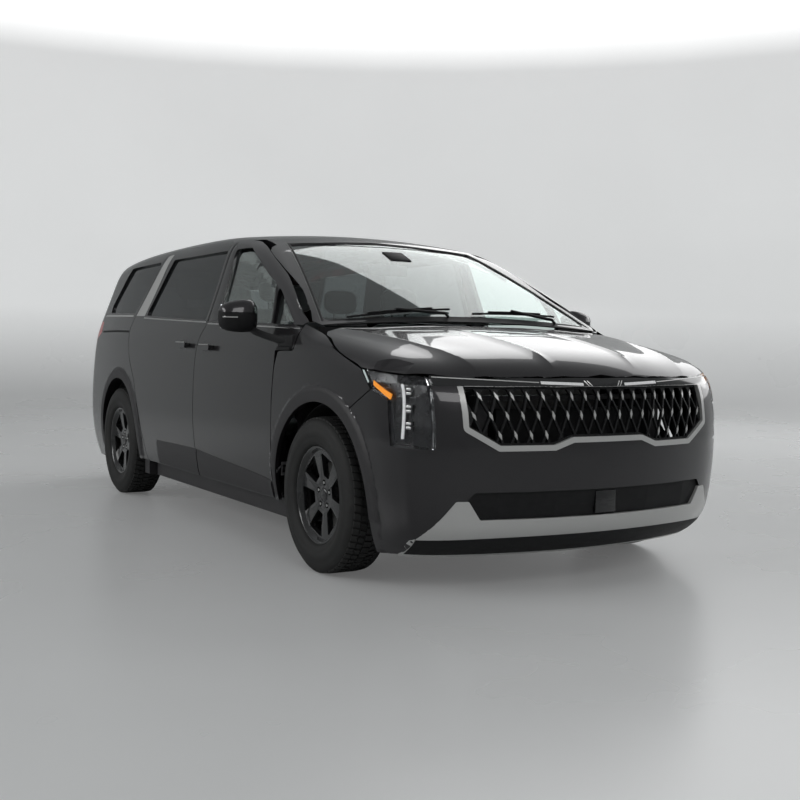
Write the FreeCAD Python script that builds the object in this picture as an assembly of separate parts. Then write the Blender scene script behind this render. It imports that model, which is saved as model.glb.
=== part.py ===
import FreeCAD, Part
import math
import os
from FreeCAD import Vector, Rotation

os.makedirs("parts", exist_ok=True)

# Driving dimensions in mm. X is forward, Y is to the driver's left, Z is up from the ground.
LENGTH = 5155.0
BODY_WIDTH = 1995.0
HEIGHT = 1740.0
WHEELBASE = 3090.0
FRONT_OVERHANG = 935.0
TRACK = 1740.0
TYRE_R = 368.5
TYRE_W = 235.0
BEAD_R = 218.0
RIM_W = 190.0
ARCH_GAP = 70.0
BELT_Z = 1165.0
SILL_Z = 290.0
FLOOR_Z = 300.0
SHUT_GAP = 6.0
SEAT_GAP = 0.3
DOOR_DEPTH = 105.0
FRAME_DEPTH = 38.0
GLASS_T = 5.0
HINGE_X = 1227.0
HINGE_Y = 955.0

NOSE_X = LENGTH / 2
TAIL_X = -LENGTH / 2
FRONT_AXLE = NOSE_X - FRONT_OVERHANG
REAR_AXLE = FRONT_AXLE - WHEELBASE
ARCH_R = TYRE_R + ARCH_GAP
WHEEL_Y = TRACK / 2
HALF = BODY_WIDTH / 2


# The body's skin: a smooth blend of the side, roof, nose and tail surfaces.
def spline(points):
    """A natural cubic curve through the given stations."""
    xs = [p[0] for p in points]
    ys = [p[1] for p in points]
    n = len(points)
    step = [xs[i + 1] - xs[i] for i in range(n - 1)]
    bend = [0.0] * n
    pivot = [1.0] * n
    for i in range(1, n - 1):
        rise = (ys[i + 1] - ys[i]) / step[i] - (ys[i] - ys[i - 1]) / step[i - 1]
        factor = step[i - 1] / pivot[i - 1] if i > 1 else 0.0
        pivot[i] = 2 * (step[i - 1] + step[i]) - factor * step[i - 1]
        bend[i] = 6 * rise - factor * bend[i - 1]
    for i in range(n - 2, 0, -1):
        bend[i] = (bend[i] - step[i] * bend[i + 1]) / pivot[i]

    def value(x):
        if x <= xs[0]:
            slope = (ys[1] - ys[0]) / step[0] - step[0] * bend[1] / 6
            return ys[0] + slope * (x - xs[0])
        if x >= xs[-1]:
            slope = (ys[-1] - ys[-2]) / step[-1] + step[-1] * bend[-2] / 6
            return ys[-1] + slope * (x - xs[-1])
        low, high = 0, n - 1
        while high - low > 1:
            middle = (low + high) // 2
            if xs[middle] <= x:
                low = middle
            else:
                high = middle
        g = step[low]
        t = x - xs[low]
        r = g - t
        cubic = (bend[low] * r ** 3 + bend[low + 1] * t ** 3) / (6 * g)
        return cubic + (ys[low] / g - bend[low] * g / 6) * r + (ys[low + 1] / g - bend[low + 1] * g / 6) * t

    return value


def soft_max(a, b, k):
    h = max(k - abs(a - b), 0.0) / k
    return max(a, b) + h * h * h * k / 6


def soft_min(a, b, k):
    return -soft_max(-a, -b, k)


plan_width = spline([
    (TAIL_X, HALF - 102), (TAIL_X + 277, HALF - 72), (TAIL_X + 477, HALF - 53), (REAR_AXLE - 352, HALF - 31),
    (REAR_AXLE, HALF - 16), (REAR_AXLE + 747, HALF - 7), (0, HALF - 5), (FRONT_AXLE - 942, HALF - 6),
    (FRONT_AXLE - 442, HALF - 10), (FRONT_AXLE, HALF - 20), (FRONT_AXLE + 358, HALF - 40),
    (NOSE_X - 377, HALF - 55), (NOSE_X - 177, HALF - 82), (NOSE_X, HALF - 117)])
side_lean = spline([
    (SILL_Z - 140, 66), (SILL_Z - 40, 42), (SILL_Z + 60, 21), (SILL_Z + 160, 8), (SILL_Z + 310, 0),
    (BELT_Z - 415, 2), (BELT_Z - 265, 9), (BELT_Z - 165, 17), (BELT_Z - 105, 24), (BELT_Z - 45, 36),
    (BELT_Z + 15, 53), (BELT_Z + 135, 92), (BELT_Z + 285, 139), (HEIGHT - 120, 192), (HEIGHT + 10, 238)])
hood_crown = spline([
    (FRONT_AXLE - 342, HEIGHT - 544), (FRONT_AXLE - 162, HEIGHT - 560), (FRONT_AXLE + 58, HEIGHT - 582),
    (FRONT_AXLE + 358, HEIGHT - 620), (NOSE_X - 277, HEIGHT - 674), (NOSE_X - 127, HEIGHT - 706),
    (NOSE_X + 23, HEIGHT - 746)])
roof_crown = spline([
    (TAIL_X, HEIGHT - 152), (TAIL_X + 277, HEIGHT - 100), (TAIL_X + 677, HEIGHT - 51),
    (REAR_AXLE + 47, HEIGHT - 20), (REAR_AXLE + 647, HEIGHT - 2), (-250, HEIGHT + 2), (100, HEIGHT - 9),
    (FRONT_AXLE - 1292, HEIGHT - 32), (FRONT_AXLE - 1082, HEIGHT - 64), (FRONT_AXLE - 882, HEIGHT - 110)])
nose_profile = spline([
    (150, NOSE_X - 197), (200, NOSE_X - 122), (260, NOSE_X - 57), (350, NOSE_X - 22), (450, NOSE_X - 10),
    (600, NOSE_X), (750, NOSE_X - 3), (900, NOSE_X - 20), (1000, NOSE_X - 36)])
tail_profile = spline([
    (150, TAIL_X + 137), (250, TAIL_X + 57), (400, TAIL_X + 10), (550, TAIL_X), (700, TAIL_X + 8),
    (900, TAIL_X + 33), (1050, TAIL_X + 54), (1150, TAIL_X + 75), (1300, TAIL_X + 126),
    (1450, TAIL_X + 188), (HEIGHT - 140, TAIL_X + 260), (HEIGHT + 10, TAIL_X + 338)])
edge_round = spline([
    (TAIL_X, 150), (REAR_AXLE, 150), (0, 150), (500, 130), (900, 95), (FRONT_AXLE - 342, 100),
    (FRONT_AXLE, 130), (FRONT_AXLE + 358, 140), (NOSE_X, 140)])


def skin_top(x, y):
    hood = hood_crown(x) - (30 + (x - FRONT_AXLE + 162) * 0.045) * (y / 800) ** 2
    screen = 1190 + 0.4908 * (FRONT_AXLE - 160 - x) + 14 * (1 - ((x - FRONT_AXLE + 652) / 490) ** 2)
    screen -= 45 * (y / 830) ** 2
    roof = roof_crown(x) - 30 * (y / 600) ** 2
    top = soft_min(screen, roof, 90)
    return soft_max(top, hood, 50) if x > 900 else top


def skin_value(x, y, z):
    """Distance-like value that is zero on the skin and negative inside the body."""
    y = abs(y)
    value = soft_max(y - plan_width(x) + side_lean(z), z - skin_top(x, y), edge_round(x))
    if x > 1000:
        value = soft_max(value, x - nose_profile(z) + 240e-6 * y * y, 300)
    if x < -1000:
        value = soft_max(value, tail_profile(z) + 170e-6 * y * y - x, 240)
    return value


def cast(start, direction, reach):
    """The point where a ray from inside the body leaves the skin."""
    direction = Vector(direction).normalize()
    near, far = 0.0, reach
    low = skin_value(*(start + direction * near))
    high = skin_value(*(start + direction * far))
    middle = far
    for _ in range(60):
        middle = far - high * (far - near) / (high - low)
        if not near + 1e-9 < middle < far - 1e-9:
            middle = (near + far) / 2
        value = skin_value(*(start + direction * middle))
        if abs(value) < 1e-4:
            break
        if value > 0:
            far, high = middle, value
            low *= 0.5
        else:
            near, low = middle, value
            high *= 0.5
    return start + direction * middle


def skin_normal(p):
    h = 0.5
    gx = skin_value(p.x + h, p.y, p.z) - skin_value(p.x - h, p.y, p.z)
    gy = skin_value(p.x, p.y + h, p.z) - skin_value(p.x, p.y - h, p.z)
    gz = skin_value(p.x, p.y, p.z + h) - skin_value(p.x, p.y, p.z - h)
    return Vector(gx, gy, gz).normalize()


def blend(a, b, t):
    return a + (b - a) * t


def stations(low, high, count):
    """Evenly spaced values from low to high, both included."""
    return [blend(low, high, i / (count - 1)) for i in range(count)]


EDGE_DROP = 30.0


def side_grid(xs, zs, top=None, lean=None):
    """Skin points seen from the left side; each station may lean along the body as it rises.

    Past the shoulder, where the skin turns over to the screen or roof, the side runs on a little inside it.
    """
    grid = []
    for k, x in enumerate(xs):
        line = []
        for z in zs:
            t = (z - zs[0]) / (zs[-1] - zs[0])
            height = blend(zs[0], min(zs[-1], top(x)), t) if top else z
            spot = cast(Vector(x + (lean[k] * t if lean else 0), 150, height), (0, 1, 0), 1500)
            spot.y = max(spot.y, plan_width(spot.x) - side_lean(height) - EDGE_DROP)
            line.append(spot)
        grid.append(line)
    return grid


def top_grid(xs, ys, z_start):
    """Skin points seen from above."""
    return [[cast(Vector(x, y, z_start), (0, 0, 1), 1700) for y in ys] for x in xs]


def fan_grid(centre_x, angles, zs):
    """Skin points on rays that fan out in plan from a post at centre_x."""
    grid = []
    for angle in angles:
        a = math.radians(angle)
        grid.append([cast(Vector(centre_x, 0, z), (math.cos(a), math.sin(a), 0), 2200) for z in zs])
    return grid


def shift(grid, vector):
    return [[p + vector for p in line] for line in grid]


def inset(grid, depth):
    """The grid moved into the body by an even depth."""
    return [[p - skin_normal(p) * depth for p in line] for line in grid]


def slab(outer, inner):
    """A closed slab of flat facets between two grids with the same stations."""
    faces = []

    def flat(*points):
        faces.append(Part.Face(Part.makePolygon(list(points) + [points[0]])))

    def cell(a, b, c, d):
        normal = (b - a).cross(c - a)
        if normal.Length > 1e-9 and abs((d - a).dot(normal.normalize())) < 1e-8:
            flat(a, b, c, d)
        elif (a - c).Length < (b - d).Length:
            flat(a, b, c)
            flat(a, c, d)
        else:
            flat(a, b, d)
            flat(b, c, d)

    n, m = len(outer), len(outer[0])
    for i in range(n - 1):
        for j in range(m - 1):
            cell(outer[i][j], outer[i + 1][j], outer[i + 1][j + 1], outer[i][j + 1])
            cell(inner[i][j], inner[i + 1][j], inner[i + 1][j + 1], inner[i][j + 1])
    for i in range(n - 1):
        cell(outer[i][0], outer[i + 1][0], inner[i + 1][0], inner[i][0])
        cell(outer[i][-1], outer[i + 1][-1], inner[i + 1][-1], inner[i][-1])
    for j in range(m - 1):
        cell(outer[0][j], outer[0][j + 1], inner[0][j + 1], inner[0][j])
        cell(outer[-1][j], outer[-1][j + 1], inner[-1][j + 1], inner[-1][j])
    skin = Part.makeShell(faces)
    skin.sewShape()
    solid = Part.makeSolid(skin)
    if solid.Volume < 0:
        solid.reverse()
    return solid


def rise_grid(xs, y, height, angles):
    """Skin points on rays that fan out across the body from a line at y and height(x)."""
    grid = []
    for x in xs:
        start = Vector(x, y, height(x))
        grid.append([cast(start, (0, math.cos(math.radians(a)), math.sin(math.radians(a))),
                          900) for a in angles])
    return grid


def thrust(grid, vector):
    """A slab whose inner face is the grid moved by one vector."""
    return slab(grid, shift(grid, vector))


def shell_slab(grid, depth, below=0.0):
    """A slab of even thickness on or below the skin."""
    return slab(inset(grid, below), inset(grid, below + depth))


def turn(profile, centre, sides, axis=Vector(0, 1, 0)):
    """A many-sided ring about an axis, from a closed profile of (distance along it, radius to the flats)."""
    turned = Rotation(Vector(0, 1, 0), axis)
    grow = 1 / math.cos(math.pi / sides)
    loops = []
    for k in range(sides):
        a = 2 * math.pi * (k + 0.5) / sides
        loops.append([centre + turned.multVec(Vector(r * grow * math.sin(a), d, r * grow * math.cos(a)))
                      for d, r in profile])
    faces = []
    for k in range(sides):
        here, there = loops[k], loops[(k + 1) % sides]
        for i in range(len(profile)):
            j = (i + 1) % len(profile)
            corners = [here[i], here[j]]
            if profile[j][1] > 0:
                corners.append(there[j])
            if profile[i][1] > 0:
                corners.append(there[i])
            if len(corners) > 2:
                faces.append(Part.Face(Part.makePolygon(corners + [corners[0]])))
    skin = Part.makeShell(faces)
    skin.sewShape()
    solid = Part.makeSolid(skin)
    if solid.Volume < 0:
        solid.reverse()
    return solid


# Outlines are lists of (a, b, corner radius) in one of the three main planes.
def outline(corners, plane, level):
    place = {
        "side": lambda a, b: Vector(a, level, b),
        "front": lambda a, b: Vector(level, a, b),
        "plan": lambda a, b: Vector(a, b, level)}[plane]
    count = len(corners)
    ends = []
    for i in range(count):
        a, b, r = corners[i]
        here = Vector(a, b, 0)
        before = (Vector(*corners[i - 1][:2], 0) - here)
        after = (Vector(*corners[(i + 1) % count][:2], 0) - here)
        if r <= 0:
            ends.append((here, None, here))
            continue
        before.normalize()
        after.normalize()
        half = math.acos(max(-1, min(1, before.dot(after)))) / 2
        reach = r / math.tan(half)
        centre = here + (before + after).normalize() * (r / math.sin(half))
        middle = centre + (here - centre).normalize() * r
        ends.append((here + before * reach, middle, here + after * reach))
    edges = []
    for i in range(count):
        start, middle, end = ends[i]
        if middle is not None:
            edges.append(Part.Arc(place(start.x, start.y), place(middle.x, middle.y),
                                  place(end.x, end.y)).toShape())
        following = ends[(i + 1) % count][0]
        if (following - end).Length > 1e-6:
            edges.append(Part.makeLine(place(end.x, end.y), place(following.x, following.y)))
    return Part.Wire(edges)


def prism(corners, plane, low, high, grow=0.0):
    """A straight block with the given outline between two levels."""
    wire = outline(corners, plane, low)
    if grow:
        wire = wire.makeOffset2D(grow)
    along = {"side": Vector(0, 1, 0), "front": Vector(1, 0, 0), "plan": Vector(0, 0, 1)}[plane]
    return Part.Face(wire).extrude(along * (high - low))


def box(x0, x1, y0, y1, z0, z1):
    return Part.makeBox(x1 - x0, y1 - y0, z1 - z0, Vector(x0, y0, z0))


def rod(start, end, radius):
    along = end - start
    return Part.makeCylinder(radius, along.Length, start, along)


def mirror(shape):
    return shape.mirror(Vector(0, 0, 0), Vector(0, 1, 0))


def pair(shape):
    return Part.makeCompound([shape, mirror(shape)])


def fuse(shapes):
    whole = shapes[0].multiFuse(shapes[1:]) if len(shapes) > 1 else shapes[0]
    return whole.removeSplitter()


written = {}


def export(name, shape):
    solids = shape.Solids
    shape = solids[0] if len(solids) == 1 else Part.makeCompound(solids)
    shape.exportStep("parts/%s.step" % name)
    written[name] = shape


# Outlines in side view, seen from the left.
door_rear_line = [(104, SILL_Z), (60, 600), (48, 960), (72, 1085), (150, 1180), (178, 1648)]
door_front_line = [(1150, 1040), (1150, 960), (1145, 790), (1157, 430), (1166, SILL_Z)]
front_door = [
    (104, SILL_Z, 40), (60, 600, 900), (48, 960, 500), (72, 1085, 150), (150, 1180, 60), (178, 1648, 18),
    (440, 1652, 120), (1079, 1352, 900), (1392, 1158, 12), (1352, 1046, 22), (1180, 1042, 22),
    (1150, 960, 200), (1145, 790, 500), (1157, 430, 500), (1166, SILL_Z, 50)]
sliding_door = [
    (-845, SILL_Z, 40), (-900, 430, 200), (-1081, 801, 300), (-1219, 951, 150), (-1305, 1141, 60),
    (-1262, 1237, 60), (-985, 1648, 18), (178 - SHUT_GAP, 1648, 18), (150 - SHUT_GAP, 1180, 60),
    (72 - SHUT_GAP, 1085, 150), (48 - SHUT_GAP, 960, 500), (60 - SHUT_GAP, 600, 900),
    (104 - SHUT_GAP, SILL_Z, 40)]
front_window = [(300, 1190, 25), (245, 1606, 18), (440, 1606, 60), (948, 1372, 20), (1040, 1175, 12)]
quarter_light = [(1068, 1172, 10), (985, 1362, 10), (1050, 1328, 100), (1315, 1166, 8)]
sliding_window = [(-1030, 1238, 20), (-800, 1600, 20), (120, 1606, 18), (108, 1200, 20)]
quarter_window = [(-1290, 1258, 25), (-1030, 1598, 25), (-1740, 1586, 40), (-2040, 1268, 40)]
hood_line = [(1440, 1162), (1532, 1141), (1721, 1068), (1852, 1024), (2006, 975), (2380, 943),
             (NOSE_X + 60, 957)]
INBOARD = HALF - 320.0
OUTBOARD = HALF + 60.0
ROOF_HALF = 600.0
door_inner = HALF - DOOR_DEPTH
LOW_Z = (SILL_Z - 60, SILL_Z, 360, 450, 640, 860, 980, 1060, 1120, 1180)
TOP_Z = (1120, 1180, 1300, 1440, 1560, 1610, 1660)


def arch(axle, radius):
    """The wheel's opening as a block across the left side of the body."""
    round_part = Part.makeCylinder(radius, OUTBOARD - 560, Vector(axle, 560, TYRE_R), Vector(0, 1, 0))
    return round_part.fuse(box(axle - radius, axle + radius, 560, OUTBOARD, 0, TYRE_R))


def half(low, high):
    """Everything on the left between two heights."""
    return box(TAIL_X - 50, NOSE_X + 50, 0, OUTBOARD, low, high)


def pane(grid, corners, depth, thick=GLASS_T):
    """A pane set back from the skin that fits its opening."""
    sheet = thrust(shift(grid, Vector(0, -depth, 0)), Vector(0, -thick, 0))
    return sheet.common(prism(corners, "side", INBOARD, OUTBOARD, -SEAT_GAP))


def door(lower, upper, corners, windows):
    """A door: full depth below the belt, a thinner frame with its windows cut above it."""
    shape = prism(corners, "side", INBOARD, OUTBOARD)
    below = thrust(lower, Vector(0, -250, 0)).common(shape)
    below = below.common(box(TAIL_X, NOSE_X, door_inner, OUTBOARD, 0, BELT_Z))
    above = thrust(upper, Vector(0, -FRAME_DEPTH, 0)).common(shape).common(half(BELT_Z, HEIGHT))
    for window in windows:
        above = above.cut(prism(window, "side", INBOARD, OUTBOARD))
    return fuse([below, above])


def bevel(line, slope, side):
    """A cutter that sets a door's edge back with depth along a shut line, behind it (-1) or ahead (1)."""
    outer = []
    inner = []
    for x, z in line:
        p = cast(Vector(x, 150, z), (0, 1, 0), 1500)
        near = p + Vector(side * slope * 5, 5, 0)
        deep = p + Vector(-side * slope * 150, -150, 0)
        outer.append([near, near + Vector(side * 90, 0, 0)])
        inner.append([deep, deep + Vector(side * 150, 0, 0)])
    return slab(outer, inner)


front_low = side_grid((20, 620, 1180, 1420), LOW_Z)
rear_low = side_grid((-1420, -1100, -500, 200), LOW_Z)
front_high = side_grid((60, 300, 700, 1080, 1460), TOP_Z, None, (0, -100, -330, -580, -940))
rear_high = side_grid((-1420, -900, -300, 220), TOP_Z)

# Front doors, each on two swan-neck hinges.
HINGE_TILT = math.radians(2)
PIN_R = 4.5
REAR_SETBACK = 0.22
FRONT_SETBACK = 0.25
SWING_GAP = 8.5


def hinge_y(z):
    return HINGE_Y - (z - 450) * math.tan(HINGE_TILT)


def hinge_arm(z):
    """A door's arm: from its eye inboard, round the fender's edge when open, and back to the door."""
    pin = Vector(HINGE_X, hinge_y(z), z)
    turns = [(-7, -3), (-30, -70), (-58, -64), (-80, -58)]
    back = [(-60, -78), (-20, -84), (7, -5)]
    corners = [(pin.x + a, pin.y + b, 0) for a, b in turns]
    corners += [(1100, door_inner + 9, 0), (1100, door_inner - 9, 0)]
    corners += [(pin.x + a, pin.y + b, 0) for a, b in back]
    arm = prism(corners, "plan", z - 16, z + 16)
    along = Vector(0, -math.sin(HINGE_TILT), math.cos(HINGE_TILT))
    eye = Part.makeCylinder(8, 34, pin - along * 17, along)
    hole = Part.makeCylinder(PIN_R + 0.05, 60, pin - along * 30, along)
    return arm.fuse(eye).cut(hole)


front = door(front_low, front_high, front_door, [front_window, quarter_light])
front = front.cut(box(1170, NOSE_X, INBOARD, HALF - 70, 0, BELT_Z))
front = front.cut(bevel([(104, SILL_Z - 20)] + door_rear_line[1:-1] + [(179, 1655)], REAR_SETBACK, -1))
front = front.cut(bevel(door_front_line[:-1] + [(1167, SILL_Z - 20)], FRONT_SETBACK, 1))
front = fuse([front, hinge_arm(450), hinge_arm(900)])
export("door_front_left", front)
export("door_front_right", mirror(front))
front_panes = Part.makeCompound([pane(front_high, front_window, 16), pane(front_high, quarter_light, 16)])
export("glass_front_left", front_panes)
export("glass_front_right", mirror(front_panes))

# Sliding doors are shown shut and rest on the posts and the sill.
slide = door(rear_low, rear_high, sliding_door, [sliding_window])
slide = slide.cut(arch(REAR_AXLE, ARCH_R + SHUT_GAP))
export("sliding_doors", pair(slide))

# Rear quarter panels with the roof rails, and the front pillars.
REAR_POST = -1750.0
GATE_X = -2200.0
quarter_angles = (98, 108, 118, 128, 138, 148)


def quarter_grid(zs):
    grid = side_grid((REAR_POST, -1450, -1150, -800), zs)[::-1]
    for angle in quarter_angles:
        a = math.radians(angle)
        grid.append([cast(Vector(REAR_POST, 200, z), (math.cos(a), math.sin(a), 0), 1500) for z in zs])
    return grid


GATE_GAP = 10.0
gate_front = [(-680, 640, 40), (-765, 1000, 200), (-750, 1180, 150), (-690, 1540, 120), (-640, 1700, 0),
              (-640, 1760, 0), (640, 1760, 0), (640, 1700, 0), (690, 1540, 120), (750, 1180, 150),
              (765, 1000, 200), (680, 640, 40)]
gate_hole = prism(gate_front, "front", -2700, GATE_X, GATE_GAP)
wall = 90.0
low_grid = quarter_grid(LOW_Z)
quarter = slab(low_grid, inset(low_grid, wall)).common(half(SILL_Z, BELT_Z))
high_grid = quarter_grid((1120, 1180, 1300, 1440, 1560, 1620))
upper = slab(high_grid, inset(high_grid, FRAME_DEPTH)).common(half(BELT_Z, 1618))
upper = upper.cut(prism(quarter_window, "side", INBOARD, OUTBOARD))
rail_grid = rise_grid((-2235, -2050, -1700, -1200, -600, 0, 300, 470), 420, lambda x: 1250,
                      (30, 40, 48, 55, 62, 70, 80))
rail = thrust(rail_grid, Vector(0, -22, -44)).common(box(-2235, 470, ROOF_HALF + SEAT_GAP, OUTBOARD, 1560,
                                                         HEIGHT + 20))
rail = rail.cut(prism(quarter_window, "side", INBOARD, OUTBOARD))
pillar_foot = spline([(440, 1640), (560, 1588), (812, 1470), (1079, 1332), (1300, 1200), (1450, 1100)])
pillar_grid = rise_grid((440, 560, 700, 850, 1000, 1150, 1300, 1450), 480, lambda x: pillar_foot(x) - 130,
                        (-8, 10, 28, 44, 56, 62, 66, 70, 76))
pillar = thrust(pillar_grid, Vector(0, -30, -34))
screen_outline = [(500, 0, 1500), (536, -600, 30), (1408, -824, 40), (1484, 0, 2200), (1408, 824, 40),
                  (536, 600, 30)]
screen_hole = prism(screen_outline, "plan", 900, 1900)
pillar = pillar.common(prism([(446, 1560, 0), (1079, 1300, 0), (1380, 1170, 0), (1440, 1166, 0),
                              (1440, 1300, 0),
                              (700, 1800, 0), (446, 1800, 0)], "side", 0, OUTBOARD))
pillar = pillar.cut(screen_hole).cut(box(0, 2000, 0, ROOF_HALF + SEAT_GAP, 0, 2000))
side = fuse([quarter, upper, rail, pillar])
side = side.cut(prism(sliding_door, "side", INBOARD, OUTBOARD, SHUT_GAP))
side = side.cut(prism(front_door, "side", INBOARD, OUTBOARD, SHUT_GAP))
side = side.cut(arch(REAR_AXLE, ARCH_R)).cut(gate_hole)
side = side.cut(box(-2300, 470, 0, ROOF_HALF + SEAT_GAP, 1500, HEIGHT + 20))
rear_lamp_side = [(-2135, 1205, 20), (-2700, 1190, 0), (-2700, 880, 0), (-2300, 880, 30), (-2230, 1075, 40),
                  (-2110, 1120, 15)]
lamp_room = prism(rear_lamp_side, "side", 0, OUTBOARD)
bumper_top = 632.0
bumper_room = [(-2700, bumper_top, 0), (-2110, bumper_top, 0), (-1900, 560, 0), (-1800, 0, 0), (-2700, 0, 0)]
side = side.cut(lamp_room).cut(prism(bumper_room, "side", 0, OUTBOARD, SEAT_GAP))
export("side_frames", pair(side))
quarter_pane = slab(inset(high_grid, 14), inset(high_grid, 14 + GLASS_T)).common(
    prism(quarter_window, "side", INBOARD, OUTBOARD, -SEAT_GAP))
slide_pane = pane(rear_high, sliding_window, 14)
export("side_glass_rear",
       Part.makeCompound([slide_pane, mirror(slide_pane), quarter_pane, mirror(quarter_pane)]))

# Posts and sills carry the doors inside their skins.
sill_y = door_inner - SEAT_GAP
POST_Y = 846.0
sill = box(-860, 1214, 700, sill_y, 190, SILL_Z - SHUT_GAP)
sill = fuse([sill, box(-838, -20 - SEAT_GAP, sill_y - 60, sill_y, SILL_Z - SHUT_GAP, SILL_Z + 40)])
sill = sill.cut(arch(REAR_AXLE, ARCH_R))
POST_LOW = SILL_Z - SHUT_GAP + SEAT_GAP
hinge_post = box(1166, 1214, 790, POST_Y, POST_LOW, 1030)
centre_post = box(-20, 36, sill_y - 60, sill_y, POST_LOW, 1150)


def hinge_bracket(z):
    """The fixed half of a hinge: two lugs on the post with the pin between them."""
    pin = Vector(HINGE_X, hinge_y(z), z)
    along = Vector(0, -math.sin(HINGE_TILT), math.cos(HINGE_TILT))
    lug = [(1200, POST_Y - 20, 0), (1234, POST_Y - 20, 0), (1238, POST_Y + 30, 0),
           (pin.x + 22, pin.y - 30, 0),
           (pin.x + 6, pin.y + 4, 0),
           (pin.x, pin.y + 7, 0), (pin.x - 6, pin.y + 4, 0), (pin.x - 2, POST_Y + 4, 0)]
    low = prism(lug, "plan", z - 34, z - 20)
    high = prism(lug, "plan", z + 20, z + 34)
    back = prism([(1200, POST_Y - 20, 0), (1234, POST_Y - 20, 0), (1238, POST_Y + 30, 0),
                  (pin.x + 22, pin.y - 30, 0),
                  (pin.x + 12, pin.y - 32, 0), (1226, POST_Y + 30, 0), (1222, POST_Y - 6, 0),
                  (1200, POST_Y - 6, 0)], "plan", z - 34, z + 34)
    return [low, high, back, Part.makeCylinder(PIN_R, 62, pin - along * 31, along)]


quarter_stay = box(-1000, -912, 812, 930, 190, 400).cut(side).cut(arch(REAR_AXLE, ARCH_R))
export("sills", Part.makeCompound([sill, quarter_stay, mirror(sill), mirror(quarter_stay)]))
front_post = fuse([hinge_post] + hinge_bracket(450) + hinge_bracket(900))
export("door_posts", Part.makeCompound([front_post, centre_post, mirror(front_post), mirror(centre_post)]))

# Front fenders run from the door to the lamp, below the hood's side line.
FENDER_T = 12.0
fender_top = spline([(1140, 1172), (1400, 1172), (1532, 1152), (1721, 1086), (1852, 1044), (2006, 1000),
                     (2240, 975)])
fender_grid = side_grid((1120, 1300, 1500, 1700, 1852, 2000, 2130), LOW_Z + (1210,), fender_top)
fender = thrust(fender_grid, Vector(0, -FENDER_T, 0))
fender_side = [(1130, SILL_Z, 0), (1130, 1200, 0)] + [(a, b - SHUT_GAP, 0) for a, b in hood_line[:4]]
fender_side += [(2003, 971, 0), (2093, 886, 0), (1795, 719, 0), (1695, SILL_Z, 0)]
fender = fender.common(prism(fender_side, "side", INBOARD, OUTBOARD))
door_room = prism(front_door, "side", INBOARD, OUTBOARD, SHUT_GAP)
fender = fender.cut(door_room)
door_room.translate(Vector(SWING_GAP - SHUT_GAP, 0, 0))
fender = fender.cut(door_room).cut(arch(FRONT_AXLE, ARCH_R))
export("front_fenders", pair(fender))

# Hood: a clamshell panel that hinges at the screen.
HOOD_T = 20.0
HOOD_HINGE_X = 1500.0
HOOD_HINGE_Z = 1112.0
HOOD_HINGE_Y = 690.0
hood_rolls = (-76, -71, -66, -62, -58, -50, -36, -18, 0, 18, 36, 50, 58, 62, 66, 71, 76)
hood_grid = []
for t in stations(0, 1, 9):
    tilt = math.radians(blend(-12, 58, t))
    line = []
    for roll in hood_rolls:
        a = math.radians(roll)
        aim = (math.sin(tilt), math.cos(tilt) * math.sin(a), math.cos(tilt) * math.cos(a))
        line.append(cast(Vector(blend(1650, 2120, t), 0, 720), aim, 1800))
    hood_grid.append(line)
above_hood_line = [(a, b, 0) for a, b in hood_line] + [(NOSE_X + 60, 1400, 0), (1440, 1400, 0)]
hood_plan = [(1545, -870, 0), (1526, -835, 0), (1510, -790, 0), (1532, -400, 0), (1541, 0, 0), (1532, 400, 0),
             (1510, 790, 0),
             (1526, 835, 0), (1545, 870, 0), (1660, 1100, 0), (2700, 1100, 0), (2700, -1100, 0),
             (1660, -1100, 0)]
hood = shell_slab(hood_grid, HOOD_T).common(prism(above_hood_line, "side", -OUTBOARD, OUTBOARD))
hood = hood.common(prism(hood_plan, "plan", 700, 1300))


def hood_arm(y):
    arm = prism([(HOOD_HINGE_X - 9, HOOD_HINGE_Z - 9, 0), (HOOD_HINGE_X + 70, HOOD_HINGE_Z - 9, 0),
                 (HOOD_HINGE_X + 90, HOOD_HINGE_Z + 22, 0), (HOOD_HINGE_X + 24, HOOD_HINGE_Z + 22, 0),
                 (HOOD_HINGE_X - 9, HOOD_HINGE_Z + 9, 0)], "side", y - 8, y + 8)
    return arm.cut(Part.makeCylinder(5 + 0.05, 60, Vector(HOOD_HINGE_X, y - 30, HOOD_HINGE_Z),
                                     Vector(0, 1, 0)))


hood = fuse([hood, hood_arm(HOOD_HINGE_Y), hood_arm(-HOOD_HINGE_Y)])
export("hood", hood)

# Nose: bumper with its intake, the grille's frame and lattice, lamps and light bar.
NOSE_POST = 1300.0
nose_angles = (-58, -50, -44, -40, -36, -31, -24, -12, 0, 12, 24, 31, 36, 40, 44, 50, 58)
nose_zs = (172, 215, 262, 343, 460, 600, 740, 860, 925)
bumper_side = [(2101, 885, 0), (1800, 715, 0), (1700, 0, 0), (2700, 0, 0), (2700, 925, 0), (2310, 908, 0)]
grille_front = [(-700, 930, 0), (-695, 725, 30), (-545, 637, 20), (-284, 637, 8), (-192, 669, 8),
                (192, 669, 8),
                (284, 637, 8), (545, 637, 20), (695, 725, 30), (700, 930, 0)]
intake_front = [(-640, 462, 20), (-690, 400, 20), (-610, 343, 15), (610, 343, 15), (690, 400, 20),
                (640, 462, 20)]
BAR_LOW = 908.0
bar_front = [(-790, BAR_LOW, 0), (-790, 1000, 0), (790, 1000, 0), (790, BAR_LOW, 0)]
lamp_front = [(800, 640, 12), (800, 1000, 0), (1100, 1000, 0), (1100, 630, 0)]
lamp_side = [(2006, 975, 0), (2101, 885, 0), (2215, 845, 0), (2245, 650, 0), (2700, 630, 0), (2700, 990, 0)]
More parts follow.
